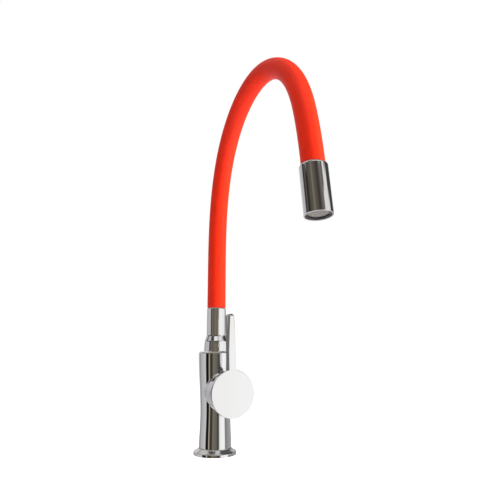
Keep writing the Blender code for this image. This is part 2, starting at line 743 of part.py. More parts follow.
def insert(name, parent, flange_end, upward):
    """A brass hose insert: a flange across the core's end, a barbed nipple that goes into the
    water tube, and a tail. It is drawn with its nipple up, or turned over."""
    nipple_r = TUBE_BORE_R * math.cos(math.pi / 8) - GAP - BARB_HEIGHT
    top = INSERT_FLANGE + INSERT_NIPPLE_LENGTH
    outline = [(nipple_r, top)]
    step = INSERT_NIPPLE_LENGTH / (BARB_COUNT + 1)
    for i in range(BARB_COUNT):
        low = top - step * (i + 1)
        outline += [(nipple_r + BARB_HEIGHT, low), (nipple_r, low)]
    outline += [
        (nipple_r, INSERT_FLANGE),
        (CUP_R - GAP, INSERT_FLANGE),
        (CUP_R - GAP, 0.0),
        (NECK_BORE_R - GAP, 0.0),
        (NECK_BORE_R - GAP, -INSERT_TAIL_LENGTH),
        (INSERT_BORE_R, -INSERT_TAIL_LENGTH),
        (INSERT_BORE_R, top),
    ]
    piece = turned(name, outline, SMALL_COUNT, BRASS, parent, (0.0, 0.0, flange_end))
    if not upward:
        piece.rotation_euler.x = math.radians(180.0)


# Nozzle and aerator, in the nozzle's frame


def nozzle_sleeve():
    """The chromed cylinder, bored for the hose's end and threaded for the aerator."""
    aerator_r = AERATOR_R + GAP
    recess = SLEEVE_IN_NOZZLE + GAP
    outline = [
        (NOZZLE_R - NOZZLE_RIM_EDGE, NOZZLE_LENGTH),
        (NOZZLE_R, NOZZLE_LENGTH - NOZZLE_RIM_EDGE),
    ]
    shoulder = rounding(NOZZLE_R - NOZZLE_SHOULDER, NOZZLE_SHOULDER, NOZZLE_SHOULDER, 0.0)
    outline += [(r, z) for r, z in shoulder]
    outline += [
        (NOZZLE_RECESS_R, 0.0),
        (NOZZLE_RECESS_R, recess),
        (CUP_R, recess),
        (CUP_R, NOZZLE_CUP_DEPTH),
        (NOZZLE_WAY_R, NOZZLE_CUP_DEPTH),
        (NOZZLE_WAY_R, AERATOR_SEAT),
        (aerator_r, AERATOR_SEAT),
        (aerator_r, NOZZLE_LENGTH),
    ]
    turned("nozzle_sleeve", outline, FINE_COUNT, CHROME, NOZZLE)


def aerator():
    """A threaded ring that holds a seal, a jet plate and the outer screen."""
    face = NOZZLE_LENGTH - AERATOR_RECESS
    seal_low = AERATOR_SEAT + GAP
    seal_high = seal_low + AERATOR_SEAL_THICKNESS
    ring(
        "aerator_seal", AERATOR_R, AERATOR_R - AERATOR_SEAL_WIDTH, seal_low, seal_high, ROUND_COUNT,
        RUBBER, NOZZLE,
    )
    inner = AERATOR_R - AERATOR_WALL
    lip = inner - AERATOR_LIP
    outline = [
        (AERATOR_R, face),
        (AERATOR_R, seal_high + GAP),
        (inner, seal_high + GAP),
        (inner, face - AERATOR_LIP_HEIGHT),
        (lip, face - AERATOR_LIP_HEIGHT),
        (lip, face),
    ]
    turned("aerator_housing", outline, FINE_COUNT, DARK_PLASTIC, NOZZLE)
    screen_high = face - AERATOR_LIP_HEIGHT - GAP
    screen_low = screen_high - SCREEN_THICKNESS
    aerator_screen(inner - GAP, screen_low, screen_high)
    plate_high = screen_low - GAP
    plate = cylinder(
        "jet_plate", inner - GAP, plate_high - JET_PLATE_THICKNESS, plate_high, ROUND_COUNT, PLASTIC, NOZZLE
    )
    for i in range(JET_COUNT):
        angle = 2 * math.pi * (i + JET_OFFSET_SHARE) / JET_COUNT
        at = (JET_CIRCLE_R * math.cos(angle), JET_CIRCLE_R * math.sin(angle), 0.0)
        low, high = plate_high - JET_PLATE_THICKNESS - OVERRUN, plate_high + OVERRUN
        hole = cylinder(f"jet_{i}", JET_HOLE_R, low, high, SMALL_COUNT // 2, parent=NOZZLE, at=at)
        boolean(plate, hole)


def aerator_screen(radius, low, high):
    """The mesh disc: square holes on a grid, as many as fit inside its edge."""
    screen = cylinder("aerator_screen", radius, low, high, ROUND_COUNT, SCREEN, NOZZLE)
    shape = bmesh.new()
    reach = int(radius / SCREEN_PITCH)
    for i in range(-reach, reach + 1):
        for j in range(-reach, reach + 1):
            x, y = i * SCREEN_PITCH, j * SCREEN_PITCH
            corner = math.hypot(abs(x) + SCREEN_HOLE / 2, abs(y) + SCREEN_HOLE / 2)
            if corner < radius * math.cos(math.pi / ROUND_COUNT) - SCREEN_THICKNESS:
                made = bmesh.ops.create_cube(shape, size=SCREEN_HOLE)["verts"]
                bmesh.ops.translate(shape, verts=made, vec=(x, y, (low + high) / 2))
    mesh = bpy.data.meshes.new("screen_holes")
    shape.to_mesh(mesh)
    shape.free()
    boolean(screen, place("screen_holes", mesh, None, NOZZLE))


# Cartridge, in the barrel's frame


def port_places():
    """Where the three ports are, across the barrel, with the words that name them."""
    return (
        ("hot", (-PORT_SPREAD / 2, -PORT_DROP, 0.0)),
        ("cold", (PORT_SPREAD / 2, -PORT_DROP, 0.0)),
        ("outlet", (0.0, OUTLET_PORT_RISE, 0.0)),
    )


def cartridge_base():
    """The lower plate, with a way and a seal for each port."""
    low, high = CARTRIDGE_BASE_BOTTOM, CARTRIDGE_BASE_TOP
    base = cylinder("cartridge_base", CARTRIDGE_R, low, high, ROUND_COUNT, PLASTIC, BARREL)
    seal_r = CARTRIDGE_PORT_R + SEAL_WALL + GAP
    for word, at in port_places():
        outline = [
            (0.0, high + OVERRUN),
            (CARTRIDGE_PORT_R, high + OVERRUN),
            (CARTRIDGE_PORT_R, low + SEAL_SEAT_DEPTH),
            (seal_r + GAP, low + SEAL_SEAT_DEPTH),
            (seal_r + GAP, low - OVERRUN),
            (0.0, low - OVERRUN),
        ]
        boolean(base, turned(word + "_way", outline, SMALL_COUNT, parent=BARREL, at=at))
        bottom = CHAMBER_FLOOR + GAP
        ring(
            word + "_port_seal", seal_r, seal_r - SEAL_WALL, bottom, bottom + SEAL_SECTION, SMALL_COUNT,
            RUBBER, BARREL, at,
        )


def ceramic_discs():
    """The fixed disc with three ports, and the moving disc with the pocket that joins them."""
    low = FIXED_CERAMIC_BOTTOM
    high = low + CERAMIC_THICKNESS
    fixed = cylinder("fixed_ceramic_disc", CERAMIC_R, low, high, ROUND_COUNT, CERAMIC, BARREL)
    for word, at in port_places():
        hole = cylinder(
            word + "_ceramic_port", CERAMIC_PORT_R, low - OVERRUN, high + OVERRUN, SMALL_COUNT,
            parent=BARREL, at=at,
        )
        boolean(fixed, hole)
    low = MOVING_CERAMIC_BOTTOM
    high = low + CERAMIC_THICKNESS
    moving = cylinder("moving_ceramic_disc", MOVING_CERAMIC_R, low, high, ROUND_COUNT, CERAMIC, BARREL)
    half_width, half_height = MIXING_POCKET_WIDTH / 2, MIXING_POCKET_HEIGHT / 2
    pocket = block(
        "mixing_pocket",
        (-half_width, -half_height, low - OVERRUN),
        (half_width, half_height, low + MIXING_POCKET_DEPTH),
        parent=BARREL,
    )
    boolean(moving, pocket)


def disc_slider():
    """The plate on the moving disc, with flats that run between the carrier's legs and a slot
    for the lever's ball."""
    slider = cylinder(
        "disc_slider", MOVING_CERAMIC_R, SLIDER_BOTTOM, SLIDER_TOP, ROUND_COUNT, PLASTIC, BARREL
    )
    for side in (-1, 1):
        edge = SLIDER_WIDTH / 2
        beyond = MOVING_CERAMIC_R + OVERRUN
        flat = block(
            f"slider_flat_{'left' if side < 0 else 'right'}",
            (min(side * edge, side * beyond), -beyond, SLIDER_BOTTOM - OVERRUN),
            (max(side * edge, side * beyond), beyond, SLIDER_TOP + OVERRUN),
            parent=BARREL,
        )
        boolean(slider, flat)
    half = SPINDLE_BALL_R + GAP
    slot = block(
        "ball_slot",
        (-half, -half, SLIDER_BOTTOM - OVERRUN),
        (half, half, SLIDER_TOP + OVERRUN),
        parent=BARREL,
    )
    boolean(slider, slot)


def cartridge_housing():
    shoulder_r = CARTRIDGE_R
    neck_r = CARRIER_R + 2 * GAP + HOUSING_NECK_WALL
    inner = CARTRIDGE_R - HOUSING_WALL
    neck_inner = CARRIER_R + GAP
    lip = neck_inner - HOUSING_LIP
    lip_low = HOUSING_TOP - HOUSING_LIP_HEIGHT
    outline = [
        (neck_r, HOUSING_TOP),
        (neck_r, HOUSING_SHOULDER),
        (shoulder_r, HOUSING_SHOULDER),
        (shoulder_r, CARTRIDGE_BASE_TOP + GAP),
        (inner, CARTRIDGE_BASE_TOP + GAP),
        (inner, CARRIER_FLOOR),
        (neck_inner, CARRIER_FLOOR),
        (neck_inner, lip_low),
        (lip, lip_low),
        (lip, HOUSING_TOP),
    ]
    turned("cartridge_housing", outline, ROUND_COUNT, PLASTIC, BARREL)


def rotating_carrier():
    """The turret: it holds the lever's pin, and its two legs take the slider round with it."""
    carrier = cylinder(
        "rotating_carrier", CARRIER_R, SLIDER_BOTTOM, CARRIER_TOP, ROUND_COUNT, PLASTIC, BARREL
    )
    leg = SLIDER_WIDTH / 2 + GAP
    beyond = CARRIER_R + OVERRUN
    room = block(
        "slider_room",
        (-leg, -beyond, SLIDER_BOTTOM - OVERRUN),
        (leg, beyond, CARRIER_FLOOR),
        parent=BARREL,
    )
    boolean(carrier, room)
    swing = math.tan(TILT_RANGE) * (CARRIER_TOP - PIVOT_HEIGHT)
    half = SPINDLE_WIDTH / 2 + GAP
    reach = SPINDLE_WIDTH / 2 / math.cos(TILT_RANGE) + 2 * GAP
    slot = block(
        "lever_slot",
        (-half, -reach - swing, CARRIER_FLOOR - OVERRUN),
        (half, reach + swing, CARRIER_TOP + OVERRUN),
        parent=BARREL,
    )
    boolean(carrier, slot)
    hole = cylinder("pin_hole", PIVOT_PIN_R + GAP, -beyond, beyond, SMALL_COUNT, parent=BARREL)
    hole.location.z = PIVOT_HEIGHT
    hole.rotation_euler.y = math.radians(90.0)
    boolean(carrier, hole)
    half_length = PIVOT_PIN_LENGTH / 2
    pin = cylinder("pivot_pin", PIVOT_PIN_R, -half_length, half_length, SMALL_COUNT, STEEL, TILT)
    pin.rotation_euler.y = math.radians(90.0)


def lever_spindle():
    """The square brass lever on the pin, with a thin arm and ball that move the slider."""
    half = SPINDLE_WIDTH / 2
    foot = -PIVOT_PIN_R - 3 * GAP - SPINDLE_EDGE
    spindle = block(
        "lever_spindle", (-half, -half, foot), (half, half, SPINDLE_TOP - PIVOT_HEIGHT), BRASS, TILT
    )
    bevel = spindle.modifiers.new("edges", "BEVEL")
    bevel.width = SPINDLE_EDGE
    bevel.segments = 1
    ball = -SPINDLE_ARM
    down = [
        (
            SPINDLE_BALL_R * math.sin(math.radians(180.0 - 30.0 * i)),
            ball + SPINDLE_BALL_R * math.cos(math.radians(180.0 - 30.0 * i)),
        )
        for i in range(1, 5)
    ]
    arm = [(0.0, -PIVOT_PIN_R - 2 * GAP), (SPINDLE_NECK_R, -PIVOT_PIN_R - 2 * GAP)]
    arm += [(SPINDLE_NECK_R, down[-1][1])]
    arm += reversed(down[:-1])
    arm += [(0.0, ball - SPINDLE_BALL_R)]
    boolean(spindle, turned("lever_arm", arm, SMALL_COUNT, parent=TILT), "UNION")
    hole = cylinder("lever_hole", PIVOT_PIN_R + GAP, -SPINDLE_WIDTH, SPINDLE_WIDTH, SMALL_COUNT, parent=TILT)
    hole.rotation_euler.y = math.radians(90.0)
    boolean(spindle, hole)


def cartridge_nut():
    """The brass ring that presses on the housing's shoulder, notched for its key."""
    low = HOUSING_SHOULDER + GAP
    high = low + NUT_THICKNESS
    inner = CARRIER_R + 3 * GAP + HOUSING_NECK_WALL
    nut = ring("cartridge_nut", CHAMBER_R - GAP, inner, low, high, ROUND_COUNT, BRASS, BARREL)
    for i in range(NUT_NOTCH_COUNT):
        half = NUT_NOTCH_WIDTH / 2
        notch = block(
            f"nut_notch_{i}",
            (-half, 0.0, high - NUT_NOTCH_DEPTH),
            (half, CHAMBER_R + OVERRUN, high + OVERRUN),
            parent=BARREL,
        )
        notch.rotation_euler.z = 2 * math.pi * i / NUT_NOTCH_COUNT
        boolean(nut, notch)
    return nut


def trim_ring():
    """The chromed cone round the lever's opening, screwed into the barrel."""
    low = HOUSING_SHOULDER + NUT_THICKNESS + 2 * GAP
    seat = BARREL_REACH + GAP
    front = seat + TRIM_RISE
    skirt = CHAMBER_R - GAP
    inner = skirt - TRIM_SKIRT_WALL
    outline = [
        (TRIM_OPENING_R + TRIM_EDGE, front),
        (BARREL_R - TRIM_EDGE, seat + TRIM_EDGE),
        (BARREL_R - TRIM_EDGE, seat),
        (skirt, seat),
        (skirt, low),
        (inner, low),
        (inner, seat),
        (TRIM_OPENING_R, seat + TRIM_EDGE),
        (TRIM_OPENING_R, front - TRIM_EDGE),
    ]
    turned("trim_ring", outline, ROUND_COUNT, CHROME, BARREL)


# Handle, in the frame of the lever's pivot


def stem_outline():
    """The stem's face as (across, height) points: it narrows to the top, where both of its
    corners are rounded."""
    foot = DISC_R - STEM_ROOT
    half_foot, half_top, r = STEM_FOOT_WIDTH / 2, STEM_TOP_WIDTH / 2, STEM_TIP_ROUNDING
    right = [
        (half_top - r + r * math.cos(a), STEM_TOP - r + r * math.sin(a))
        for a in (math.radians(90.0 * i / 5) for i in range(6))
    ]
    left = [(-across, height) for across, height in reversed(right)]
    return [(-half_foot, foot), (half_foot, foot)] + right + left


def stem_mesh(front):
    """The flat stem, drawn from its face to its back."""
    face = front - STEM_FACE_STEP
    back = face - STEM_THICKNESS
    outline = stem_outline()
    shape = bmesh.new()
    near, far = (
        [shape.verts.new((across, height, depth)) for across, height in outline]
        for depth in (face, back)
    )
    shape.faces.new(near)
    shape.faces.new(list(reversed(far)))
    for i in range(len(outline)):
        j = (i + 1) % len(outline)
        shape.faces.new((near[j], near[i], far[i], far[j]))
    bmesh.ops.recalc_face_normals(shape, faces=shape.faces)
    mesh = bpy.data.meshes.new("handle")
    shape.to_mesh(mesh)
    shape.free()
    return mesh


def handle():
    """The flat disc with its upright stem, and a boss behind it that takes the spindle."""
    front = HANDLE_FACE - PIVOT_HEIGHT
    back = front - DISC_THICKNESS
    piece = place("handle", stem_mesh(front), CHROME, TILT)
    bevel = piece.modifiers.new("edges", "BEVEL")
    bevel.width = STEM_EDGE
    bevel.segments = 1
    bevel.angle_limit = math.radians(50.0)
    disc = [
        (0.0, front),
        (DISC_R - DISC_EDGE, front),
        (DISC_R, front - DISC_EDGE),
        (DISC_R, back + DISC_EDGE / 2),
        (DISC_R - DISC_EDGE / 2, back),
        (BOSS_R, back),
        (BOSS_R, back - BOSS_LENGTH),
        (0.0, back - BOSS_LENGTH),
    ]
    boolean(piece, turned("handle_disc", disc, FINE_COUNT, parent=TILT), "UNION")
    half = SPINDLE_WIDTH / 2 + GAP
    boss_end = back - BOSS_LENGTH
    socket = block(
        "spindle_socket",
        (-half, -half, boss_end - OVERRUN),
        (half, half, boss_end + SPINDLE_SOCKET_DEPTH),
        parent=TILT,
    )
    boolean(piece, socket)
    height = HANDLE_SCREW_HEIGHT - PIVOT_HEIGHT
    hole = cylinder("handle_screw_hole", HANDLE_SCREW_R + GAP, 0.0, BOSS_R + OVERRUN, SMALL_COUNT, parent=TILT)
    hole.location.z = height
    hole.rotation_euler.x = math.radians(90.0)
    boolean(piece, hole)
    start = SPINDLE_WIDTH / 2 + GAP
    at = (0.0, 0.0, height)
    turn = (math.radians(90.0), 0.0, 0.0)
    screw = cylinder("handle_screw", HANDLE_SCREW_R, start, BOSS_R, SMALL_COUNT, STEEL, TILT, at)
    screw.rotation_euler = turn
    key = HANDLE_SCREW_R * HEX_SOCKET_SHARE
    boolean(screw, hex_tool("handle_key", key, BOSS_R - HEX_SOCKET_DEPTH, BOSS_R + OVERRUN, TILT, at, turn))


# Fixing under the worktop


def stud():
    top = BODY_SPIGOT_BOTTOM + STUD_IN_BODY
    bottom = WORKTOP_BOTTOM - STUD_BELOW_WORKTOP
    small = STUD_R - STUD_CHAMFER
    outline = [
        (0.0, top),
        (small, top),
        (STUD_R, top - STUD_CHAMFER),
        (STUD_R, bottom + STUD_CHAMFER),
        (small, bottom),
        (0.0, bottom),
    ]
    piece = turned("mounting_stud", outline, SMALL_COUNT, STEEL, at=(0.0, STUD_BACK, 0.0))
    half = STUD_SLOT_WIDTH / 2
    slot = block(
        "stud_slot",
        (-half, STUD_BACK - STUD_R - OVERRUN, bottom - OVERRUN),
        (half, STUD_BACK + STUD_R + OVERRUN, bottom + STUD_SLOT_DEPTH),
    )
    boolean(piece, slot)


def clamp_plate(name, high, thickness, material):
    """A horseshoe round the supply hoses, with a hole for the stud."""
    low = high - thickness
    plate = cylinder(name, CLAMP_R, low, high, FINE_COUNT, material)
    at = (0.0, -CLAMP_SLOT_CENTRE, 0.0)
    hole = cylinder(name + "_throat", CLAMP_SLOT_R, low - OVERRUN, high + OVERRUN, ROUND_COUNT, at=at)
    boolean(plate, hole)
    mouth = block(
        name + "_mouth",
        (-CLAMP_SLOT_R, -CLAMP_R - OVERRUN, low - OVERRUN),
        (CLAMP_SLOT_R, -CLAMP_SLOT_CENTRE, high + OVERRUN),
    )
    boolean(plate, mouth)
    at = (0.0, STUD_BACK, 0.0)
    hole = cylinder(name + "_stud_hole", STUD_R + GAP, low - OVERRUN, high + OVERRUN, SMALL_COUNT, at=at)
    boolean(plate, hole)
    return low


def stud_nut(high):
    """A flanged hexagon nut."""
    low = high - STUD_NUT_HEIGHT
    at = (0.0, STUD_BACK, 0.0)
    nut = cylinder("stud_nut", STUD_NUT_FLANGE_R, high - STUD_NUT_FLANGE, high, ROUND_COUNT, STEEL, at=at)
    boolean(nut, hex_tool("nut_hexagon", STUD_NUT_R, low, high - STUD_NUT_FLANGE / 2, None, at), "UNION")
    boolean(nut, cylinder("nut_bore", STUD_R + GAP, low - OVERRUN, high + OVERRUN, SMALL_COUNT, at=at))


valve_body()
base_ring()
slip_ring()
lock_screw()
neck()
o_rings()
insert("lower_hose_insert", SWIVEL, NECK_TOP - NECK_CUP_DEPTH + GAP, True)
hose_sleeve()
gooseneck_core()
water_tube()
insert("upper_hose_insert", NOZZLE, NOZZLE_CUP_DEPTH - GAP, False)
nozzle_sleeve()
aerator()
cartridge_base()
ceramic_discs()
disc_slider()
cartridge_housing()
rotating_carrier()
lever_spindle()
cartridge_nut()
trim_ring()
handle()
stud()
pad_bottom = clamp_plate("clamp_gasket", WORKTOP_BOTTOM, CLAMP_PAD_THICKNESS, RUBBER)
plate_bottom = clamp_plate("clamp_plate", pad_bottom - GAP, CLAMP_PLATE_THICKNESS, STEEL)
stud_nut(plate_bottom - GAP)
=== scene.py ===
"""A flexible kitchen faucet in a pale studio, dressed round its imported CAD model."""

import math

import bpy
import numpy as np
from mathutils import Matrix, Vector


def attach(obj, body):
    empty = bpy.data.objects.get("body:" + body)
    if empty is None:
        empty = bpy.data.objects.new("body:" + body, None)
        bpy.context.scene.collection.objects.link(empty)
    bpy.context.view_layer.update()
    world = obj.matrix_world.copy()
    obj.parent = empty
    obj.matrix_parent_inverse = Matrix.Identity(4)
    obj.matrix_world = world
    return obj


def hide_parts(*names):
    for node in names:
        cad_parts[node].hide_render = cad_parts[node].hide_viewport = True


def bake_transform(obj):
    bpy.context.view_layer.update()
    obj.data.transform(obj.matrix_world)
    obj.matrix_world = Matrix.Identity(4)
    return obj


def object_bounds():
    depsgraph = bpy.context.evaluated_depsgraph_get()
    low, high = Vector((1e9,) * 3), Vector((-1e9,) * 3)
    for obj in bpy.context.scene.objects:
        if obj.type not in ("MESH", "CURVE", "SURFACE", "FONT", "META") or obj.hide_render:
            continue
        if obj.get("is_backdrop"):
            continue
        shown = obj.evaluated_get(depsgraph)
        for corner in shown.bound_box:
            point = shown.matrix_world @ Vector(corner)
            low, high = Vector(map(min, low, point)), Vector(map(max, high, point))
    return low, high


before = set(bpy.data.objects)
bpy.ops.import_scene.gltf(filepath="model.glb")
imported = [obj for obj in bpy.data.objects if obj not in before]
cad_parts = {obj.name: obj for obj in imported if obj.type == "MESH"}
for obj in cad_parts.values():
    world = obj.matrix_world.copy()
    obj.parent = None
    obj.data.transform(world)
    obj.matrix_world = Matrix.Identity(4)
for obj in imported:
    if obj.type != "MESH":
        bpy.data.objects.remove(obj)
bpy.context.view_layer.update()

# Camera
# It stands to the left of the spout, level with the top of the body, and looks up a little,
# as the photograph does.
CAMERA_PLACE = (-0.2525, -0.5750, 0.1187)
CAMERA_HEADING = Vector((0.4446, 0.8957, 0.0))
CAMERA_PITCH = math.radians(12.56)
CAMERA_LENS = 37.35
UP = Vector((0, 0, 1))

camera_data = bpy.data.cameras.new("studio_camera")
camera_data.lens = CAMERA_LENS
camera = bpy.data.objects.new("studio_camera", camera_data)
bpy.context.scene.collection.objects.link(camera)
camera.location = CAMERA_PLACE
look = CAMERA_HEADING * math.cos(CAMERA_PITCH) + UP * math.sin(CAMERA_PITCH)
camera.rotation_euler = look.to_track_quat("-Z", "Y").to_euler()
bpy.context.scene.camera = camera
bpy.context.scene.view_settings.view_transform = "Standard"

# Studio
# A white sweep for the eye, and round the faucet a room that polished metal mirrors: a pale
# wall behind it, a dim room with dark stands in front, and a tall window to the right.
BACKDROP = (1.0, 1.0, 1.0, 1.0)
DAYLIGHT = 0.30
# Bearings in degrees to the right of the camera, each with the grey that is seen there
LOW_ROOM = (
    (-180, (0.50, 0.49, 0.51)),
    (-131.4, (0.42, 0.41, 0.42)),
    (-130.9, (0.15, 0.145, 0.15)),
    (-126, (0.15, 0.145, 0.15)),
    (-125.5, (0.42, 0.41, 0.42)),
    (-71, (0.60, 0.58, 0.60)),
    (-66, (0.006, 0.006, 0.005)),
    (-48, (0.01, 0.009, 0.007)),
    (-45, (0.40, 0.365, 0.31)),
    (-40, (0.40, 0.365, 0.31)),
    (-37, (0.06, 0.045, 0.028)),
    (-21, (0.055, 0.04, 0.025)),
    (-16, (0.19, 0.17, 0.135)),
    (12, (0.13, 0.12, 0.10)),
    (18, (0.06, 0.062, 0.055)),
    (28, (0.08, 0.082, 0.075)),
    (35, (0.89, 0.88, 0.85)),
    (49, (0.93, 0.92, 0.90)),
    (54, (1.0, 0.99, 0.98)),
    (74, (0.92, 0.91, 0.89)),
    (79, (0.12, 0.12, 0.12)),
    (84, (0.25, 0.25, 0.25)),
)
LEVEL_ROOM = (
    (-180, (0.52, 0.50, 0.52)),
    (-140, (0.54, 0.52, 0.54)),
    (-131.4, (0.44, 0.425, 0.44)),
    (-130.9, (0.21, 0.205, 0.21)),
    (-126, (0.21, 0.205, 0.21)),
    (-125.5, (0.50, 0.48, 0.50)),
    (-70, (0.54, 0.52, 0.53)),
    (-66, (0.05, 0.045, 0.04)),
    (-55, (0.05, 0.045, 0.04)),
    (-49, (0.20, 0.175, 0.15)),
    (-34, (0.11, 0.095, 0.08)),
    (-10, (0.18, 0.16, 0.12)),
    (17, (0.14, 0.13, 0.10)),
    (29, (0.22, 0.21, 0.18)),
    (38, (0.86, 0.85, 0.82)),
    (48, (0.96, 0.95, 0.93)),
    (116, (0.88, 0.87, 0.85)),
    (127, (0.42, 0.41, 0.41)),
    (144, (0.30, 0.29, 0.30)),
)
LIT_SIDE = (
    (-180, (0.74, 0.72, 0.73)),
    (-152, (0.62, 0.60, 0.61)),
    (-134, (0.48, 0.465, 0.48)),
)
SHADED_SIDE = (
    (-99, (0.04, 0.035, 0.03)),
    (-93, (0.14, 0.13, 0.11)),
    (-86, (0.05, 0.045, 0.04)),
    (-76, (0.02, 0.016, 0.012)),
    (-62, (0.09, 0.08, 0.06)),
    (-42, (0.11, 0.10, 0.08)),
    (-34, (0.21, 0.19, 0.16)),
    (-26, (0.13, 0.115, 0.09)),
    (13, (0.04, 0.036, 0.03)),
    (38, (0.18, 0.17, 0.15)),
)
LIT_EDGE = (0.50, 0.48, 0.50)
SHADED_EDGE = (0.04, 0.035, 0.03)
HALF_EDGE = 3
WINDOW = (0.75, 0.74, 0.72)
WINDOW_FRAME = (0.10, 0.095, 0.085)
LEFT_FRAME = 4
RIGHT_FRAME = 5
FAR_CORNER = (0.05, 0.05, 0.05)
CORNER_WIDTH = 37
BACK_WALL_START = 160
BACK_WALL = (0.45, 0.44, 0.44)


def raised_room(shade, window_start, window_end):
    """What the nozzle mirrors. The window leans, so it is narrower higher up, and there the
    shaded side starts later."""
    return (
        *LIT_SIDE,
        (shade - HALF_EDGE, LIT_EDGE),
        (shade + HALF_EDGE, SHADED_EDGE),
        *(stop for stop in SHADED_SIDE if stop[0] > shade + HALF_EDGE),
        (window_start - LEFT_FRAME, WINDOW_FRAME),
        (window_start, WINDOW),
        (window_end, WINDOW),
        (window_end + RIGHT_FRAME, FAR_CORNER),
        (window_end + CORNER_WIDTH, FAR_CORNER),
        (BACK_WALL_START, BACK_WALL),
    )


DARK_EDGE = (
    (-180, (0.05, 0.045, 0.04)),
    (24, (0.05, 0.045, 0.04)),
    (36, (0.80, 0.79, 0.77)),
    (84, (0.80, 0.79, 0.77)),
    (96, (0.05, 0.045, 0.04)),
)
CEILING = (
    (-180, (0.50, 0.48, 0.50)),
    (-52, (0.45, 0.43, 0.44)),
    (-44, (0.05, 0.045, 0.04)),
    (-27, (0.05, 0.045, 0.04)),
    (-19, (0.84, 0.83, 0.81)),
    (72, (0.84, 0.83, 0.81)),
    (84, (0.04, 0.04, 0.04)),
    (150, (0.10, 0.10, 0.10)),
)
HIGH_CEILING = (
    (-180, (0.56, 0.54, 0.50)),
    (45, (0.56, 0.54, 0.50)),
    (58, (0.09, 0.085, 0.08)),
    (177, (0.09, 0.085, 0.08)),
)
ZENITH = (
    (-180, (0.46, 0.44, 0.42)),
    (-128, (0.46, 0.44, 0.42)),
    (-104, (0.10, 0.09, 0.08)),
    (140, (0.10, 0.09, 0.08)),
)
# What is seen above the low room, with the heights in degrees between which it takes over
LAYERS = (
    (LEVEL_ROOM, 0.2, 1.6),
    (raised_room(shade=-113, window_start=46, window_end=98), 9, 15),
    (raised_room(shade=-74, window_start=50, window_end=89), 24, 26),
    (raised_room(shade=-54, window_start=61, window_end=76), 29, 30),
    (DARK_EDGE, 33, 34),
    (CEILING, 35, 36),
    (HIGH_CEILING, 43, 45),
    (ZENITH, 60, 68),
)
FLOOR_SEEN = (0.70, 0.69, 0.69, 1.0)
FLOOR_FADE = (-32, -26)
# The colour sockets of a mix node, whose names aren't unique
MIX_A, MIX_B, MIX_RESULT = 6, 7, 2


def ranged(tree, value, start, end, low=0.0, high=1.0):
    """Maps a value from between start and end to between low and high."""
    share = tree.nodes.new("ShaderNodeMapRange")
    share.inputs["From Min"].default_value = start
    share.inputs["From Max"].default_value = end
    share.inputs["To Min"].default_value = low
    share.inputs["To Max"].default_value = high
    tree.links.new(value, share.inputs["Value"])
    return share.outputs[0]


def mixed(tree, factor, first, second):
    """Mixes two colours by a factor. Each colour is a value or another node's output."""
    mix = tree.nodes.new("ShaderNodeMix")
    mix.data_type = "RGBA"
    tree.links.new(factor, mix.inputs["Factor"])
    for colour, socket in ((first, mix.inputs[MIX_A]), (second, mix.inputs[MIX_B])):
        if isinstance(colour, tuple):
            socket.default_value = colour
        else:
            tree.links.new(colour, socket)
    return mix.outputs[MIX_RESULT]


world = bpy.data.worlds.new("studio")
bpy.context.scene.world = world
world.use_nodes = True
sky = world.node_tree
sky.nodes.clear()
direction = sky.nodes.new("ShaderNodeTexCoord")


def sky_dot(vector):
    """How far a ray of the world goes along a direction."""
    dot = sky.nodes.new("ShaderNodeVectorMath")
    dot.operation = "DOT_PRODUCT"
    dot.inputs[1].default_value = vector
    sky.links.new(direction.outputs["Generated"], dot.inputs[0])
    return dot.outputs["Value"]


bearing = sky.nodes.new("ShaderNodeMath")
bearing.operation = "ARCTAN2"
sky.links.new(sky_dot(CAMERA_HEADING.cross(UP)), bearing.inputs[0])
sky.links.new(sky_dot(-CAMERA_HEADING), bearing.inputs[1])
turn_share = ranged(sky, bearing.outputs[0], -math.pi, math.pi)
height = sky_dot(UP)


def room(stops):
    """The greys seen round the faucet at one height, by bearing. The first grey closes the
    turn."""
    ramp = sky.nodes.new("ShaderNodeValToRGB")
    elements = ramp.color_ramp.elements
    elements.remove(elements[1])
    elements[0].position = 0.0
    elements[0].color = (*stops[0][1], 1.0)
    for degrees, grey in stops[1:]:
        stop = elements.new((degrees + 180) / 360)
        stop.color = (*grey, 1.0)
    closing = elements.new(1.0)
    closing.color = (*stops[0][1], 1.0)
    sky.links.new(turn_share, ramp.inputs["Fac"])
    return ramp.outputs["Color"]


def above(lower, upper, from_height, to_height):
    """One height's room below and another above, over a soft edge between two heights."""
    from_rise, to_rise = (math.sin(math.radians(h)) for h in (from_height, to_height))
    return mixed(sky, ranged(sky, height, from_rise, to_rise), lower, upper)


seen = room(LOW_ROOM)
for stops, from_height, to_height in LAYERS:
    seen = above(seen, room(stops), from_height, to_height)
seen = above(FLOOR_SEEN, seen, *FLOOR_FADE)

mirrored = sky.nodes.new("ShaderNodeBackground")
sky.links.new(seen, mirrored.inputs["Color"])
daylight = sky.nodes.new("ShaderNodeBackground")
daylight.inputs["Strength"].default_value = DAYLIGHT
backdrop = sky.nodes.new("ShaderNodeBackground")
backdrop.inputs["Color"].default_value = BACKDROP
rays = sky.nodes.new("ShaderNodeLightPath")
for_metal = sky.nodes.new("ShaderNodeMixShader")
for_eye = sky.nodes.new("ShaderNodeMixShader")
output = sky.nodes.new("ShaderNodeOutputWorld")
sky.links.new(rays.outputs["Is Glossy Ray"], for_metal.inputs["Fac"])
sky.links.new(daylight.outputs[0], for_metal.inputs[1])
sky.links.new(mirrored.outputs[0], for_metal.inputs[2])
sky.links.new(rays.outputs["Is Camera Ray"], for_eye.inputs["Fac"])
sky.links.new(for_metal.outputs[0], for_eye.inputs[1])
sky.links.new(backdrop.outputs[0], for_eye.inputs[2])
sky.links.new(for_eye.outputs[0], output.inputs["Surface"])


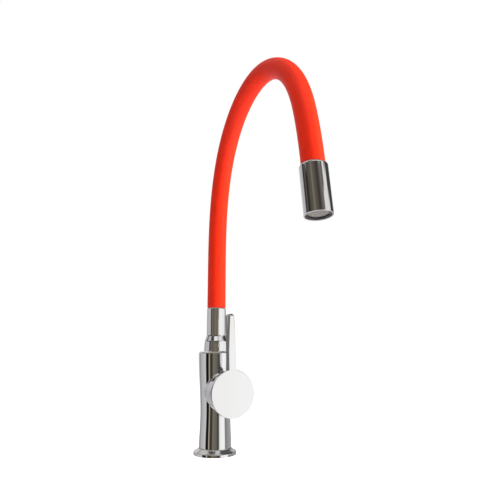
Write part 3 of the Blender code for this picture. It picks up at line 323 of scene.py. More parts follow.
def softbox(name, place, target, width, tall, power):
    """A soft lamp that polished metal doesn't mirror, because the room above has the window."""
    lamp_data = bpy.data.lights.new(name, "AREA")
    lamp_data.shape = "RECTANGLE"
    lamp_data.size = width
    lamp_data.size_y = tall
    lamp_data.energy = power
    lamp = bpy.data.objects.new(name, lamp_data)
    bpy.context.scene.collection.objects.link(lamp)
    lamp.location = place
    aim = Vector(target) - Vector(place)
    lamp.rotation_euler = aim.to_track_quat("-Z", "Y").to_euler()
    lamp.visible_glossy = False
    lamp.visible_camera = False


softbox(
    "window_light",
    place=(1.00, -0.90, 0.75),
    target=(0.0, -0.1, 0.25),
    width=0.7,
    tall=1.1,
    power=40,
)
softbox(
    "ceiling_light",
    place=(-0.2, -0.5, 1.5),
    target=(0.0, -0.1, 0.2),
    width=1.2,
    tall=1.2,
    power=9,
)

# Worktop
# The pale surface that the faucet stands on, with the tap hole in it. For the eye it gives a
# light of its own, which lifts it to the white behind it, so that no horizon shows.
MM = 0.001
FLOOR_SIZE = 6.0
TAP_HOLE_R = 17.5 * MM
FLOOR_GREY = (0.90, 0.90, 0.90, 1.0)
FLOOR_ROUGHNESS = 0.8
FLOOR_LIFT = 0.78

bpy.ops.object.select_all(action="DESELECT")
bpy.ops.mesh.primitive_circle_add(vertices=48, radius=TAP_HOLE_R, location=(0, 0, 0))
floor = bpy.context.active_object
floor.name = "worktop"
bpy.ops.object.mode_set(mode="EDIT")
bpy.ops.mesh.select_all(action="SELECT")
bpy.ops.mesh.extrude_region_move()
bpy.ops.transform.resize(value=(FLOOR_SIZE / TAP_HOLE_R,) * 3, center_override=(0, 0, 0))
bpy.ops.mesh.select_all(action="SELECT")
bpy.ops.mesh.normals_make_consistent(inside=False)
bpy.ops.object.mode_set(mode="OBJECT")
floor_finish = bpy.data.materials.new("white_sweep")
floor_finish.use_nodes = True
tree = floor_finish.node_tree
shader = tree.nodes["Principled BSDF"]
shader.inputs["Base Color"].default_value = FLOOR_GREY
shader.inputs["Roughness"].default_value = FLOOR_ROUGHNESS
shader.inputs["Specular IOR Level"].default_value = 0.0
shader.inputs["Emission Color"].default_value = BACKDROP
rays = tree.nodes.new("ShaderNodeLightPath")
lift = ranged(tree, rays.outputs["Is Camera Ray"], 0.0, 1.0, 0.0, FLOOR_LIFT)
tree.links.new(lift, shader.inputs["Emission Strength"])
floor.data.materials.append(floor_finish)
floor.visible_glossy = False
floor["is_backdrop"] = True

# Body
# One brass casting, turned and plated with bright chrome: a slightly waisted tower with a side
# barrel that flares towards its mouth, and a small round where the two meet. The cartridge's
# chamber, the waterways and the tapped holes for the hoses and the stud are bored in it.
BODY_TOP = 118.0 * MM
BODY_ROUND = 2.4 * MM
BODY_TOP_R = 20.8 * MM
WAIST_R = 18.2 * MM
WAIST_HEIGHT = 45.0 * MM
FOOT_R = 19.4 * MM
FOOT_HEIGHT = 8.3 * MM
SPIGOT_R = 17.5 * MM
SPIGOT_BOTTOM = 2.6 * MM
BARREL_HEIGHT = 71.5 * MM
BARREL_START = -2.0 * MM
BARREL_END = 38.5 * MM
BARREL_NARROW_R = 17.9 * MM
BARREL_WIDE_R = 21.4 * MM
BARREL_MOUTH_R = 22.0 * MM
FLARE_START = 8.0 * MM
FLARE_END = 28.0 * MM
FLARE_RISE = BARREL_WIDE_R - BARREL_NARROW_R
FILLET_R = 2.0 * MM
FILLET_STEPS = 12
FILLET_SUNK = 0.5 * MM
FILLET_PROUD = 0.01 * MM
FIRST_REACH = 15.0 * MM
SETTLING_STEPS = 40
CHAMBER_R = 17.5 * MM
CHAMBER_START = 9.5 * MM
CHAMBER_END = 41.0 * MM
SOCKET_START = 120.0 * MM
# The neck's socket: radius and floor of each step, from the top down
SOCKET_STEPS = ((13.2 * MM, 116.1 * MM), (10.0 * MM, 93.0 * MM), (4.5 * MM, 76.9 * MM))
INLET_X, INLET_Y = 8.0 * MM, -4.0 * MM
INLET_R = 4.6 * MM
INLET_DEPTH = 13.6 * MM
BOSS_R = 6.6 * MM
BOSS_TOP = 4.6 * MM
BOSS_BOTTOM = 1.6 * MM
SUPPLY_R = 3.0 * MM
SUPPLY_START = 13.0 * MM
SUPPLY_END = 67.6 * MM
PORT_R = 3.2 * MM
PORT_X = 7.5 * MM
PORT_START = 0.8 * MM
PORT_END = 12.0 * MM
PORT_HEIGHT = 66.0 * MM
OUTLET_HEIGHT = 78.5 * MM
STUD_PLACE = Vector((0, 12.0 * MM, 0))
STUD_BORE_R = 4.2 * MM
STUD_BORE_TOP = 16.9 * MM
SCREW_BORE_R = 2.2 * MM
LOCK_HEIGHT = 108.0 * MM
LOCK_BORE_START = 8.0 * MM
LOCK_BORE_END = 24.0 * MM
BARREL_CENTRE = Vector((0, 0, BARREL_HEIGHT))
FORWARD = Vector((0, -1, 0))
RIGHT = Vector((1, 0, 0))
BASE = Vector((0, 0, 0))
FINE = 128


def in_mm(*points):
    """A profile's (radius, height) points, given in millimetres."""
    return [(r * MM, h * MM) for r, h in points]


def turned(name, profile, centre=BASE, axis=UP, side=RIGHT, steps=FINE, closed=False):
    """A piece spun on a lathe: a point drawn through the profile's (radius, height) places,
    and the line that it leaves spun round the axis."""
    places = [centre + side * r + axis * h for r, h in profile]
    if closed:
        places.append(places[0])
    bpy.ops.object.select_all(action="DESELECT")
    bpy.ops.mesh.primitive_plane_add(size=MM, location=(0, 0, 0))
    piece = bpy.context.active_object
    piece.name = name
    bpy.ops.object.mode_set(mode="EDIT")
    bpy.ops.mesh.select_mode(type="VERT")
    bpy.ops.mesh.select_all(action="SELECT")
    bpy.ops.mesh.merge(type="CENTER")
    bpy.ops.transform.translate(value=places[0])
    for a, b in zip(places, places[1:]):
        bpy.ops.mesh.extrude_region_move(TRANSFORM_OT_translate={"value": b - a})
    bpy.ops.mesh.select_all(action="SELECT")
    bpy.ops.mesh.spin(steps=steps, angle=2 * math.pi, center=centre, axis=axis)
    bpy.ops.mesh.select_all(action="SELECT")
    bpy.ops.mesh.remove_doubles(threshold=0.002 * MM)
    bpy.ops.mesh.normals_make_consistent(inside=False)
    bpy.ops.object.mode_set(mode="OBJECT")
    return piece


def apply_all(piece):
    """Applies a piece's modifiers, in order."""
    bpy.ops.object.select_all(action="DESELECT")
    piece.select_set(True)
    bpy.context.view_layer.objects.active = piece
    for modifier in list(piece.modifiers):
        bpy.ops.object.modifier_apply(modifier=modifier.name)


def ease_edges(piece, width, segments=2, angle=40):
    """The small rounding that polishing leaves on every hard edge."""
    bevel = piece.modifiers.new("eased_edges", "BEVEL")
    bevel.width = width
    bevel.segments = segments
    bevel.limit_method = "ANGLE"
    bevel.angle_limit = math.radians(angle)
    apply_all(piece)


def smooth(piece, angle=28):
    """Soft shading that leaves long and flat faces as true as a polished part's."""
    bpy.ops.object.select_all(action="DESELECT")
    piece.select_set(True)
    bpy.context.view_layer.objects.active = piece
    bpy.ops.object.shade_smooth_by_angle(angle=math.radians(angle))
    weighed = piece.modifiers.new("true_faces", "WEIGHTED_NORMAL")
    weighed.keep_sharp = True
    apply_all(piece)


def cut(piece, tool, operation="DIFFERENCE"):
    """Bores a piece with a tool, or fuses the two, and clears the tool away."""
    change = piece.modifiers.new("cut", "BOOLEAN")
    change.operation = operation
    change.object = tool
    change.solver = "EXACT"
    apply_all(piece)
    bpy.data.objects.remove(tool)


def bore(piece, radius, start, end, steps=48):
    """A round hole between two points."""
    start, end = Vector(start), Vector(end)
    axis = (end - start).normalized()
    side = RIGHT if abs(axis.x) < 0.9 else UP
    length = (end - start).length
    profile = [(0, 0), (radius, 0), (radius, length), (0, length)]
    cut(piece, turned("drill", profile, start, axis, side, steps))


def s_curve(r_from, h_from, r_to, h_to, steps):
    """Points of a level-ended curve between two places of a profile, without the first."""
    points = []
    for i in range(1, steps + 1):
        t = i / steps
        r = r_from + (r_to - r_from) * t * t * (3 - 2 * t)
        points.append((r, h_from + (h_to - h_from) * t))
    return points


def arc(r, h, radius, start, end, steps):
    """Points of an arc of a profile, by its angles in degrees."""
    angles = [math.radians(start + (end - start) * i / steps) for i in range(steps + 1)]
    return [(r + radius * math.cos(a), h + radius * math.sin(a)) for a in angles]


def noise(tree, place, scale, detail=2.0):
    """Soft cloudy shades over a piece, in its own space."""
    clouds = tree.nodes.new("ShaderNodeTexNoise")
    clouds.inputs["Scale"].default_value = scale
    clouds.inputs["Detail"].default_value = detail
    tree.links.new(place.outputs["Object"], clouds.inputs["Vector"])
    return clouds.outputs["Fac"]


def relief(tree, shades, depth):
    """Turns shades into a shallow relief of a material's surface."""
    bump = tree.nodes.new("ShaderNodeBump")
    bump.inputs["Strength"].default_value = 1.0
    bump.inputs["Distance"].default_value = depth
    tree.links.new(shades, bump.inputs["Height"])
    tree.links.new(bump.outputs[0], tree.nodes["Principled BSDF"].inputs["Normal"])


HAZE_SCALE = 90.0
HAZE_DETAIL = 3.0
HAZE_SPREAD = (0.6, 1.6)
WAVE_SCALE = 45.0


def plated(name, grey, roughness, wave=0.0):
    """Polished metal: a mirror with the faint haze and waves of buffing."""
    metal = bpy.data.materials.new(name)
    metal.use_nodes = True
    tree = metal.node_tree
    shader = tree.nodes["Principled BSDF"]
    shader.inputs["Base Color"].default_value = (*grey, 1.0)
    shader.inputs["Metallic"].default_value = 1.0
    place = tree.nodes.new("ShaderNodeTexCoord")
    haze = noise(tree, place, HAZE_SCALE, HAZE_DETAIL)
    gloss = ranged(tree, haze, 0.0, 1.0, *(roughness * share for share in HAZE_SPREAD))
    tree.links.new(gloss, shader.inputs["Roughness"])
    if wave:
        relief(tree, noise(tree, place, WAVE_SCALE), wave)
    return metal


CHROME_GREY = (0.90, 0.90, 0.91)
CHROME_ROUGHNESS = 0.035
CHROME_WAVE = 0.012 * MM
CHROME = plated("bright_chrome", CHROME_GREY, CHROME_ROUGHNESS, CHROME_WAVE)


def dress(piece, finish, slot, body, *replaced):
    """Gives a finished piece its material, its CAD body and the nodes that it stands for."""
    piece.data.materials.clear()
    piece.data.materials.append(finish)
    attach(piece, body)
    if replaced:
        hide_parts(*replaced)


profile = [(0, BODY_TOP)]
profile += arc(BODY_TOP_R - BODY_ROUND, BODY_TOP - BODY_ROUND, BODY_ROUND, 90, 0, 8)
profile += s_curve(BODY_TOP_R, BODY_TOP - BODY_ROUND, WAIST_R, WAIST_HEIGHT, 22)
profile += s_curve(WAIST_R, WAIST_HEIGHT, FOOT_R, FOOT_HEIGHT, 12)
profile += [(SPIGOT_R, FOOT_HEIGHT), (SPIGOT_R, SPIGOT_BOTTOM), (0, SPIGOT_BOTTOM)]
casting = turned("body_casting", profile)
profile = [(0, BARREL_START), (BARREL_NARROW_R, BARREL_START)]
profile += s_curve(BARREL_NARROW_R, FLARE_START, BARREL_WIDE_R, FLARE_END, 20)
profile += [
    (BARREL_MOUTH_R, BARREL_END - 1.0 * MM),
    (BARREL_MOUTH_R, BARREL_END - 0.6 * MM),
    (BARREL_MOUTH_R - 0.15 * MM, BARREL_END - 0.2 * MM),
    (BARREL_MOUTH_R - 0.6 * MM, BARREL_END),
    (0, BARREL_END),
]
barrel = turned("barrel", profile, BARREL_CENTRE, FORWARD, UP)
cut(casting, barrel, "UNION")


def smooth_step(start, end, value):
    """The share of the way from start to end, level at both ends."""
    t = min(max((value - start) / (end - start), 0.0), 1.0)
    return t * t * (3 - 2 * t)


def flare(along):
    """The share of the barrel's flare at a distance along it."""
    return smooth_step(FLARE_START, FLARE_END, along)


def fillet_point(turn, share):
    """A place on the round of a ball that rolls between tower and barrel: the ball's turn
    round the barrel, and the share of the way from its touch on the tower to the barrel.
    Without a share, a place inside the casting. The ball's place settles step by step."""
    reach = FIRST_REACH
    for _ in range(SETTLING_STEPS):
        slope = flare(reach + MM) - flare(reach - MM)
        lean = math.atan(slope * FLARE_RISE / (2 * MM))
        barrel_r = BARREL_NARROW_R + FLARE_RISE * flare(reach + FILLET_R * math.sin(lean))
        off = barrel_r + FILLET_R * math.cos(lean)
        x, z = -off * math.sin(turn), BARREL_HEIGHT + off * math.cos(turn)
        taper = smooth_step(-(BODY_TOP - BODY_ROUND), -WAIST_HEIGHT, -z)
        tower_r = BODY_TOP_R + (WAIST_R - BODY_TOP_R) * taper
        reach = (reach + math.sqrt(max((tower_r + FILLET_R) ** 2 - x * x, 0.0))) / 2
    ball = Vector((x, -reach, z))
    to_tower = Vector((-x, reach, 0)).normalized()
    inward = math.cos(lean)
    to_barrel = Vector((math.sin(turn) * inward, -math.sin(lean), -math.cos(turn) * inward))
    if share is None:
        return ball + (to_tower + to_barrel) / 2 * (FILLET_R + FILLET_SUNK)
    return ball + to_tower.slerp(to_barrel, share) * (FILLET_R + FILLET_PROUD)


bpy.ops.object.select_all(action="DESELECT")
bpy.ops.mesh.primitive_torus_add(major_segments=FINE, minor_segments=FILLET_STEPS + 2)
fillet = bpy.context.active_object
for vertex in fillet.data.vertices:
    ring, step = divmod(vertex.index, FILLET_STEPS + 2)
    share = step / FILLET_STEPS if step <= FILLET_STEPS else None
    vertex.co = fillet_point(2 * math.pi * ring / FINE, share)
bpy.ops.object.mode_set(mode="EDIT")
bpy.ops.mesh.select_all(action="SELECT")
bpy.ops.mesh.normals_make_consistent(inside=False)
bpy.ops.object.mode_set(mode="OBJECT")

chamber_ends = [BARREL_CENTRE + FORWARD * end for end in (CHAMBER_START, CHAMBER_END)]
bore(casting, CHAMBER_R, *chamber_ends, FINE)
profile = [(0, SOCKET_START)]
for radius, floor_height in SOCKET_STEPS:
    profile += [(radius, profile[-1][1]), (radius, floor_height)]
profile += [(0, floor_height)]
cut(casting, turned("socket", profile))
for side in (-1, 1):
    inlet = Vector((side * INLET_X, INLET_Y, 0))
    port = Vector((side * PORT_X, 0, PORT_HEIGHT))
    profile = [(0, BOSS_TOP), (BOSS_R, BOSS_TOP), (BOSS_R, BOSS_BOTTOM), (0, BOSS_BOTTOM)]
    cut(casting, turned("boss", profile, inlet), "UNION")
    bore(casting, INLET_R, inlet, inlet + UP * INLET_DEPTH)
    bore(casting, SUPPLY_R, inlet + UP * SUPPLY_START, inlet + UP * SUPPLY_END)
    bore(casting, PORT_R, port + FORWARD * PORT_START, port + FORWARD * PORT_END)
outlet = Vector((0, 0, OUTLET_HEIGHT))
bore(casting, PORT_R, outlet, outlet + FORWARD * PORT_END)
bore(casting, STUD_BORE_R, STUD_PLACE, STUD_PLACE + UP * STUD_BORE_TOP)
bore(casting, SCREW_BORE_R, (0, LOCK_BORE_START, LOCK_HEIGHT), (0, LOCK_BORE_END, LOCK_HEIGHT))
bpy.ops.object.select_all(action="DESELECT")
fillet.select_set(True)
casting.select_set(True)
bpy.context.view_layer.objects.active = casting
bpy.ops.object.join()
smooth(casting, angle=14)
dress(casting, CHROME, "chrome", "body", "valve_body")

# Base ring and gasket
# A chromed flange that sweeps out round the foot and hides the tap hole, and under it a black
# rubber ring that keeps water out of the worktop.
RING_BORE_R = 17.8 * MM
RING_TOP_R = 19.7 * MM
RING_R = 25.5 * MM
RING_TOP = 8.0 * MM
RING_EDGE_TOP = 3.0 * MM
RING_BOTTOM = 0.5 * MM
RECESS_INNER_R = 18.7 * MM
RECESS_OUTER_R = 23.9 * MM
RECESS_TOP = 2.5 * MM

profile = [(RING_BORE_R, RING_TOP), (RING_TOP_R, RING_TOP)]
profile += s_curve(RING_TOP_R, RING_TOP, RING_R, RING_EDGE_TOP, 20)
profile += [(RING_R, RING_BOTTOM), (RECESS_OUTER_R, RING_BOTTOM), (RECESS_OUTER_R, RECESS_TOP)]
profile += [(RECESS_INNER_R, RECESS_TOP), (RECESS_INNER_R, RING_BOTTOM)]
profile += [(RING_BORE_R, RING_BOTTOM)]
base_ring = turned("base_flange", profile, closed=True)
ease_edges(base_ring, 0.15 * MM)
smooth(base_ring)
dress(base_ring, CHROME, "chrome", "body", "base_ring")

DRIFT_SCALE = 30.0


def moulded(name, colour, roughness, grain, depth, shade=0.12):
    """Rubber, silicone or plastic: a colour that drifts a little, and a fine moulded grain."""
    stuff = bpy.data.materials.new(name)
    stuff.use_nodes = True
    tree = stuff.node_tree
    shader = tree.nodes["Principled BSDF"]
    place = tree.nodes.new("ShaderNodeTexCoord")
    darker = (*[c * (1 - shade) for c in colour], 1.0)
    lighter = (*[min(1.0, c * (1 + shade)) for c in colour], 1.0)
    tint = mixed(tree, noise(tree, place, DRIFT_SCALE), darker, lighter)
    tree.links.new(tint, shader.inputs["Base Color"])
    shader.inputs["Roughness"].default_value = roughness
    relief(tree, noise(tree, place, grain), depth)
    return stuff


BLACK_RUBBER = moulded(
    "black_rubber", (0.022, 0.022, 0.023), roughness=0.55, grain=1500.0, depth=0.02 * MM
)
gasket = turned(
    "foot_gasket", in_mm((23.6, 2.2), (23.6, 0), (19.0, 0), (19.0, 2.2)), closed=True
)
ease_edges(gasket, 0.3 * MM)
smooth(gasket)
dress(gasket, BLACK_RUBBER, "rubber", "body", "base_gasket")

# Cartridge
# Inside the barrel: a plastic housing with rubber port seals, two lapped ceramic discs, the
# slider and the turret that the lever moves. They stay as the CAD model has them.
WHITE_PLASTIC = moulded(
    "white_acetal",
    (0.72, 0.72, 0.69),
    roughness=0.38,
    grain=700.0,
    depth=0.01 * MM,
    shade=0.04,
)
ALUMINA = moulded(
    "lapped_alumina",
    (0.84, 0.82, 0.78),
    roughness=0.12,
    grain=3000.0,
    depth=0.001 * MM,
    shade=0.02,
)
BRASS = plated("turned_brass", (0.78, 0.58, 0.30), roughness=0.22)
STEEL = plated("plain_steel", (0.60, 0.60, 0.62), roughness=0.28)


def repaint(finish, *names):
    """A better material on a CAD node."""
    for name in names:
        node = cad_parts[name]
        if not node.material_slots:
            node.data.materials.append(finish)
        for slot in node.material_slots:
            slot.material = finish


repaint(WHITE_PLASTIC, "cartridge_base", "cartridge_housing", "rotating_carrier", "disc_slider")
repaint(BLACK_RUBBER, "hot_port_seal", "cold_port_seal", "outlet_port_seal")
repaint(ALUMINA, "fixed_ceramic_disc", "moving_ceramic_disc")
repaint(BRASS, "cartridge_nut", "lever_spindle")
repaint(STEEL, "pivot_pin", "handle_screw")

# Trim ring
# A chromed cone screwed into the barrel's mouth. It closes the gap round the lever.
trim_profile = in_mm(
    (14.5, 40.2),
    (19.4, 39.3),
    (19.7, 39.1),
    (19.7, 38.8),
    (17.2, 38.8),
    (17.2, 32.6),
    (14.6, 32.6),
    (14.6, 38.8),
    (14.2, 39.1),
    (14.2, 39.9),
)
trim = turned("barrel_trim", trim_profile, BARREL_CENTRE, FORWARD, UP, closed=True)
ease_edges(trim, 0.12 * MM)
smooth(trim)
dress(trim, CHROME, "chrome", "body", "trim_ring")

# Handle
# A thin flat disc in front of the barrel with a flat stem that stands up from it, cut and
# polished as one, and behind the disc a hub that takes the square spindle. The disc's back has
# painted shade, a darker grey in its chrome, and the stem leans a little, as a lever that isn't
# quite centred.
FACE = 49.2 * MM
DISC_R = 26.6 * MM
DISC_THICK = 3.5 * MM
DISC_BACK = FACE - DISC_THICK
DISC_EDGE = 0.6 * MM
DISC_BACK_EDGE = 0.3 * MM
DISC_STEPS = 160
# Painted shade: the darker grey given to the disc's back, for the shade between disc and barrel
DISC_BACK_PAINTED_SHADE = (0.30, 0.30, 0.30, 1.0)
HUB_R = 6.4 * MM
HUB_BACK = 36.5 * MM
SQUARE = 7.6 * MM
SQUARE_DEPTH = 11.4 * MM
SQUARE_CENTRE = 40.2 * MM
SCREW_PLACE = 40.0 * MM
SCREW_BORE_DEPTH = 9.0 * MM
STEM_TOP = BARREL_HEIGHT + 89.5 * MM
STEM_FOOT = BARREL_HEIGHT + 20.7 * MM
STEM_HALF = 4.3 * MM
STEM_FRONT = FACE - 0.02 * MM
STEM_BACK = 41.3 * MM
STEM_ROUND = 2.8 * MM
STEM_TIP_EDGE = 3.2 * MM
STEM_EDGE = 0.45 * MM
STEM_LEAN = math.radians(1.6)

bpy.ops.object.select_all(action="DESELECT")
bpy.ops.mesh.primitive_cube_add(size=1.0, location=(0, 0, 0))
handle = bpy.context.active_object
handle.name = "lever_handle"
for vertex in handle.data.vertices:
    vertex.co.x = math.copysign(STEM_HALF, vertex.co.x)
    vertex.co.y = -STEM_FRONT if vertex.co.y < 0 else -STEM_BACK
    vertex.co.z = STEM_TOP if vertex.co.z > 0 else STEM_FOOT
# Edges have to be what edit mode selects, or the bevels below would lose their choice of them
bpy.ops.object.mode_set(mode="EDIT")
bpy.ops.mesh.select_mode(type="EDGE")
bpy.ops.mesh.select_all(action="DESELECT")
bpy.ops.object.mode_set(mode="OBJECT")


def bevel_edges(piece, wanted, width, segments):
    """Rounds the edges whose two ends both pass."""
    for element in (piece.data.vertices, piece.data.edges, piece.data.polygons):
        element.foreach_set("select", [False] * len(element))
    for edge in piece.data.edges:
        edge.select = all(wanted(piece.data.vertices[i].co) for i in edge.vertices)
    bpy.ops.object.mode_set(mode="EDIT")
    bpy.ops.mesh.bevel(offset=width, segments=segments, affect="EDGES")
    bpy.ops.object.mode_set(mode="OBJECT")


for side in (-1, 1):
    bevel_edges(
        handle, lambda p: p.z > STEM_TOP - MM and p.x * side > MM, STEM_ROUND, segments=12
    )
bevel_edges(
    handle,
    lambda p: p.z > STEM_TOP - STEM_ROUND - 0.1 * MM and p.y < -FACE + MM,
    STEM_TIP_EDGE,
    segments=5,
)
ease_edges(handle, STEM_EDGE, segments=4, angle=50)
bpy.ops.object.mode_set(mode="EDIT")
bpy.ops.mesh.select_all(action="SELECT")
bpy.ops.transform.rotate(value=STEM_LEAN, orient_axis="Y", center_override=BARREL_CENTRE)
bpy.ops.object.mode_set(mode="OBJECT")
profile = [(0, FACE), (DISC_R - 1.0 * MM, FACE)]
profile += arc(DISC_R - DISC_EDGE, FACE - DISC_EDGE, DISC_EDGE, 90, 0, 5)
profile += arc(DISC_R - DISC_BACK_EDGE, DISC_BACK + DISC_BACK_EDGE, DISC_BACK_EDGE, 0, -90, 3)
profile += [(HUB_R, DISC_BACK), (HUB_R, HUB_BACK), (0, HUB_BACK)]
disc = turned("disc", profile, BARREL_CENTRE, FORWARD, UP, DISC_STEPS)
cut(handle, disc, "UNION")
bpy.ops.object.select_all(action="DESELECT")
bpy.ops.mesh.primitive_cube_add(size=1.0, location=BARREL_CENTRE + FORWARD * SQUARE_CENTRE)
broach = bpy.context.active_object
broach.scale = (SQUARE, SQUARE_DEPTH, SQUARE)
cut(handle, broach)
screw = BARREL_CENTRE + FORWARD * SCREW_PLACE
bore(handle, SCREW_BORE_R, screw, screw - UP * SCREW_BORE_DEPTH)
smooth(handle)

# Painted shade on the disc's back: behind the disc's back face and below its top, the chrome's
# grey is mixed to a darker one
LEVER_CHROME = plated("lever_chrome", CHROME_GREY, CHROME_ROUGHNESS, CHROME_WAVE)
tree = LEVER_CHROME.node_tree
axes = tree.nodes.new("ShaderNodeSeparateXYZ")
tree.links.new(tree.nodes.new("ShaderNodeTexCoord").outputs["Object"], axes.inputs[0])
behind = ranged(tree, axes.outputs["Y"], -DISC_BACK - 0.3 * MM, -DISC_BACK - 0.1 * MM)
disc_top = BARREL_HEIGHT + DISC_R
below = ranged(tree, axes.outputs["Z"], disc_top, disc_top - 0.4 * MM)
back = tree.nodes.new("ShaderNodeMath")
back.operation = "MULTIPLY"
tree.links.new(behind, back.inputs[0])
tree.links.new(below, back.inputs[1])
chrome_and_painted_shade = mixed(tree, back.outputs[0], (*CHROME_GREY, 1.0), DISC_BACK_PAINTED_SHADE)
tree.links.new(chrome_and_painted_shade, tree.nodes["Principled BSDF"].inputs["Base Color"])
dress(handle, LEVER_CHROME, "chrome", "lever", "handle")

# Neck
# A turned chromed tube with a bell foot on a thin rim. It turns in the body's top on two
# O-rings and carries the hose.
NECK_TOP = 170.6 * MM
NECK_R = 11.7 * MM
NECK_ROUND = 0.9 * MM
NECK_SOCKET_R = 7.9 * MM
NECK_SOCKET_BOTTOM = 146.0 * MM
NECK_WATERWAY_R = 5.5 * MM
PLUG_R = 9.7 * MM
PLUG_BOTTOM = 93.3 * MM
RIM_ROUND = 0.4 * MM
# The bell's heights in millimetres, each with the lean of its side from upright in degrees
BELL = (
    (138.2, 0),
    (136.9, 14.5),
    (136.1, 17),
    (135.8, 18.5),
    (130.9, 18.5),
    (129.6, 4.6),
    (118.7, 3.2),
)
BELL_STEPS = 8
# The lock's groove and those of the two O-rings: middle height, width and radius at the bottom,
# all in millimetres
GROOVES = ((108.0, 3.6, 8.0), (101.3, 2.4, 8.1), (96.7, 2.4, 8.1))

profile = [(NECK_SOCKET_R, NECK_TOP), (NECK_R - NECK_ROUND, NECK_TOP)]
profile += arc(NECK_R - NECK_ROUND, NECK_TOP - NECK_ROUND, NECK_ROUND, 90, 0, 8)[1:]
profile += [(NECK_R, h * MM) for h in (169.3, 138.6, 138.2)]
bell_r = NECK_R
for (high, lean), (low, next_lean) in zip(BELL, BELL[1:]):
    for i in range(1, BELL_STEPS + 1):
        angle = math.radians(lean + (next_lean - lean) * (i - 0.5) / BELL_STEPS)
        bell_r += (high - low) * MM / BELL_STEPS * math.tan(angle)
        profile.append((bell_r, (high + (low - high) * i / BELL_STEPS) * MM))
rim_height = BELL[-1][0] * MM
profile += arc(bell_r - RIM_ROUND, rim_height, RIM_ROUND, 0, -90, 4)[1:]
profile += [(PLUG_R, rim_height - RIM_ROUND)]
for middle, width, bottom in GROOVES:
    high, low = (middle + width / 2) * MM, (middle - width / 2) * MM
    profile += [(PLUG_R, high), (bottom * MM, high), (bottom * MM, low), (PLUG_R, low)]
profile += [(PLUG_R, PLUG_BOTTOM + 0.5 * MM), (PLUG_R - 0.5 * MM, PLUG_BOTTOM)]
profile += [(NECK_WATERWAY_R, PLUG_BOTTOM), (NECK_WATERWAY_R, NECK_SOCKET_BOTTOM)]
profile += [(NECK_SOCKET_R, NECK_SOCKET_BOTTOM)]
neck = turned("neck_tube", profile, closed=True)
smooth(neck)
dress(neck, CHROME, "chrome", "neck", "spout_neck")
repaint(BLACK_RUBBER, "lower_o_ring", "upper_o_ring")
repaint(BRASS, "lower_hose_insert", "upper_hose_insert")

slip = turned(
    "slip_washer", in_mm((12.9, 118), (12.9, 116.4), (10.3, 116.4), (10.3, 118)), closed=True
)
ease_edges(slip, 0.15 * MM)
smooth(slip)
dress(slip, WHITE_PLASTIC, "plastic", "body", "slip_ring")

# Hose
# A silicone sleeve over a steel gooseneck and the water tube. It rises from the neck, arches
# forward and ends in the nozzle, and is drawn in two halves.
HOSE_LENGTH = 508.7 * MM
HOSE_ANGLES = (0.0, 1.2, 12.4, 35.7, 72.8, 124.0, 161.9, 173.3)


def hose_line(count=506):
    """Distances, angles from straight up, and (y, z) points of the hose's centre line."""
    stations = np.radians(HOSE_ANGLES)
    slopes = np.gradient(stations)
    along = np.linspace(0.0, HOSE_LENGTH, count + 1)
    place = along / HOSE_LENGTH * (len(stations) - 1)
    left = np.minimum(place.astype(int), len(stations) - 2)
    t = place - left
    angle = (
        (2 * t**3 - 3 * t**2 + 1) * stations[left]
        + (t**3 - 2 * t**2 + t) * slopes[left]
        + (3 * t**2 - 2 * t**3) * stations[left + 1]
        + (t**3 - t**2) * slopes[left + 1]
    )
    middle = (angle[1:] + angle[:-1]) / 2
    step = HOSE_LENGTH / count
    y = -np.concatenate([[0.0], np.cumsum(np.sin(middle) * step)])
    z = NECK_TOP + np.concatenate([[0.0], np.cumsum(np.cos(middle) * step)])
    return along, angle, y, z


ALONG, ANGLE, LINE_Y, LINE_Z = hose_line()
END_ANGLE = float(ANGLE[-1])
NOZZLE_TOP = Vector((0, float(LINE_Y[-1]), float(LINE_Z[-1])))
SPOUT_DOWN = Vector((0, -math.sin(END_ANGLE), math.cos(END_ANGLE)))


def on_hose(distance):
    """A point of the centre line, which goes straight on past both ends."""
    if distance <= 0:
        return Vector((0, 0, NECK_TOP + distance))
    if distance >= HOSE_LENGTH:
        return NOZZLE_TOP + SPOUT_DOWN * (distance - HOSE_LENGTH)
    return Vector((0, np.interp(distance, ALONG, LINE_Y), np.interp(distance, ALONG, LINE_Z)))


def hose_piece(name, distances, radii, wall, sides):
    """A tube drawn along the hose's line, with a wall inside its skin."""
    bpy.ops.object.select_all(action="DESELECT")
    bpy.ops.curve.primitive_nurbs_path_add(location=(0, 0, 0))
    path = bpy.context.active_object
    path.name = name
    curve = path.data
    curve.splines.clear()
    spline = curve.splines.new("POLY")
    spline.points.add(len(distances) - 1)
    widest = max(radii)
    for point, distance, radius in zip(spline.points, distances, radii):
        point.co = (*on_hose(distance), 1.0)
        point.radius = radius / widest
    curve.bevel_depth = widest
    curve.bevel_resolution = sides // 2 - 2
    curve.use_fill_caps = False
    bpy.ops.object.convert(target="MESH")
    piece = bpy.context.active_object
    skin = piece.modifiers.new("wall", "SOLIDIFY")
    skin.thickness = wall
    skin.offset = -1.0
    skin.use_even_offset = False
    apply_all(piece)
    return piece


MIDDLE = HOSE_LENGTH / 2


def layer_line(rising, into_neck, into_nozzle, pitch):
    """Evenly spaced distances along one half of a layer, which goes on past the line's ends
    into the neck and the nozzle."""
    start = -into_neck if rising else MIDDLE
    end = MIDDLE if rising else HOSE_LENGTH + into_nozzle
    count = round((end - start) / pitch)
    return [start + (end - start) * i / count for i in range(count + 1)]


RED_SILICONE = moulded(
    "red_silicone",
    (0.93, 0.028, 0.006),
    roughness=0.42,
    grain=1100.0,
    depth=0.02 * MM,
    shade=0.05,
)
shader = RED_SILICONE.node_tree.nodes["Principled BSDF"]
shader.inputs["Specular IOR Level"].default_value = 0.2
GREY_TUBE = moulded(
    "grey_tube", (0.50, 0.52, 0.53), roughness=0.30, grain=500.0, depth=0.01 * MM
)
SLEEVE_R = 11.4 * MM
SLEEVE_WALL = 3.0 * MM
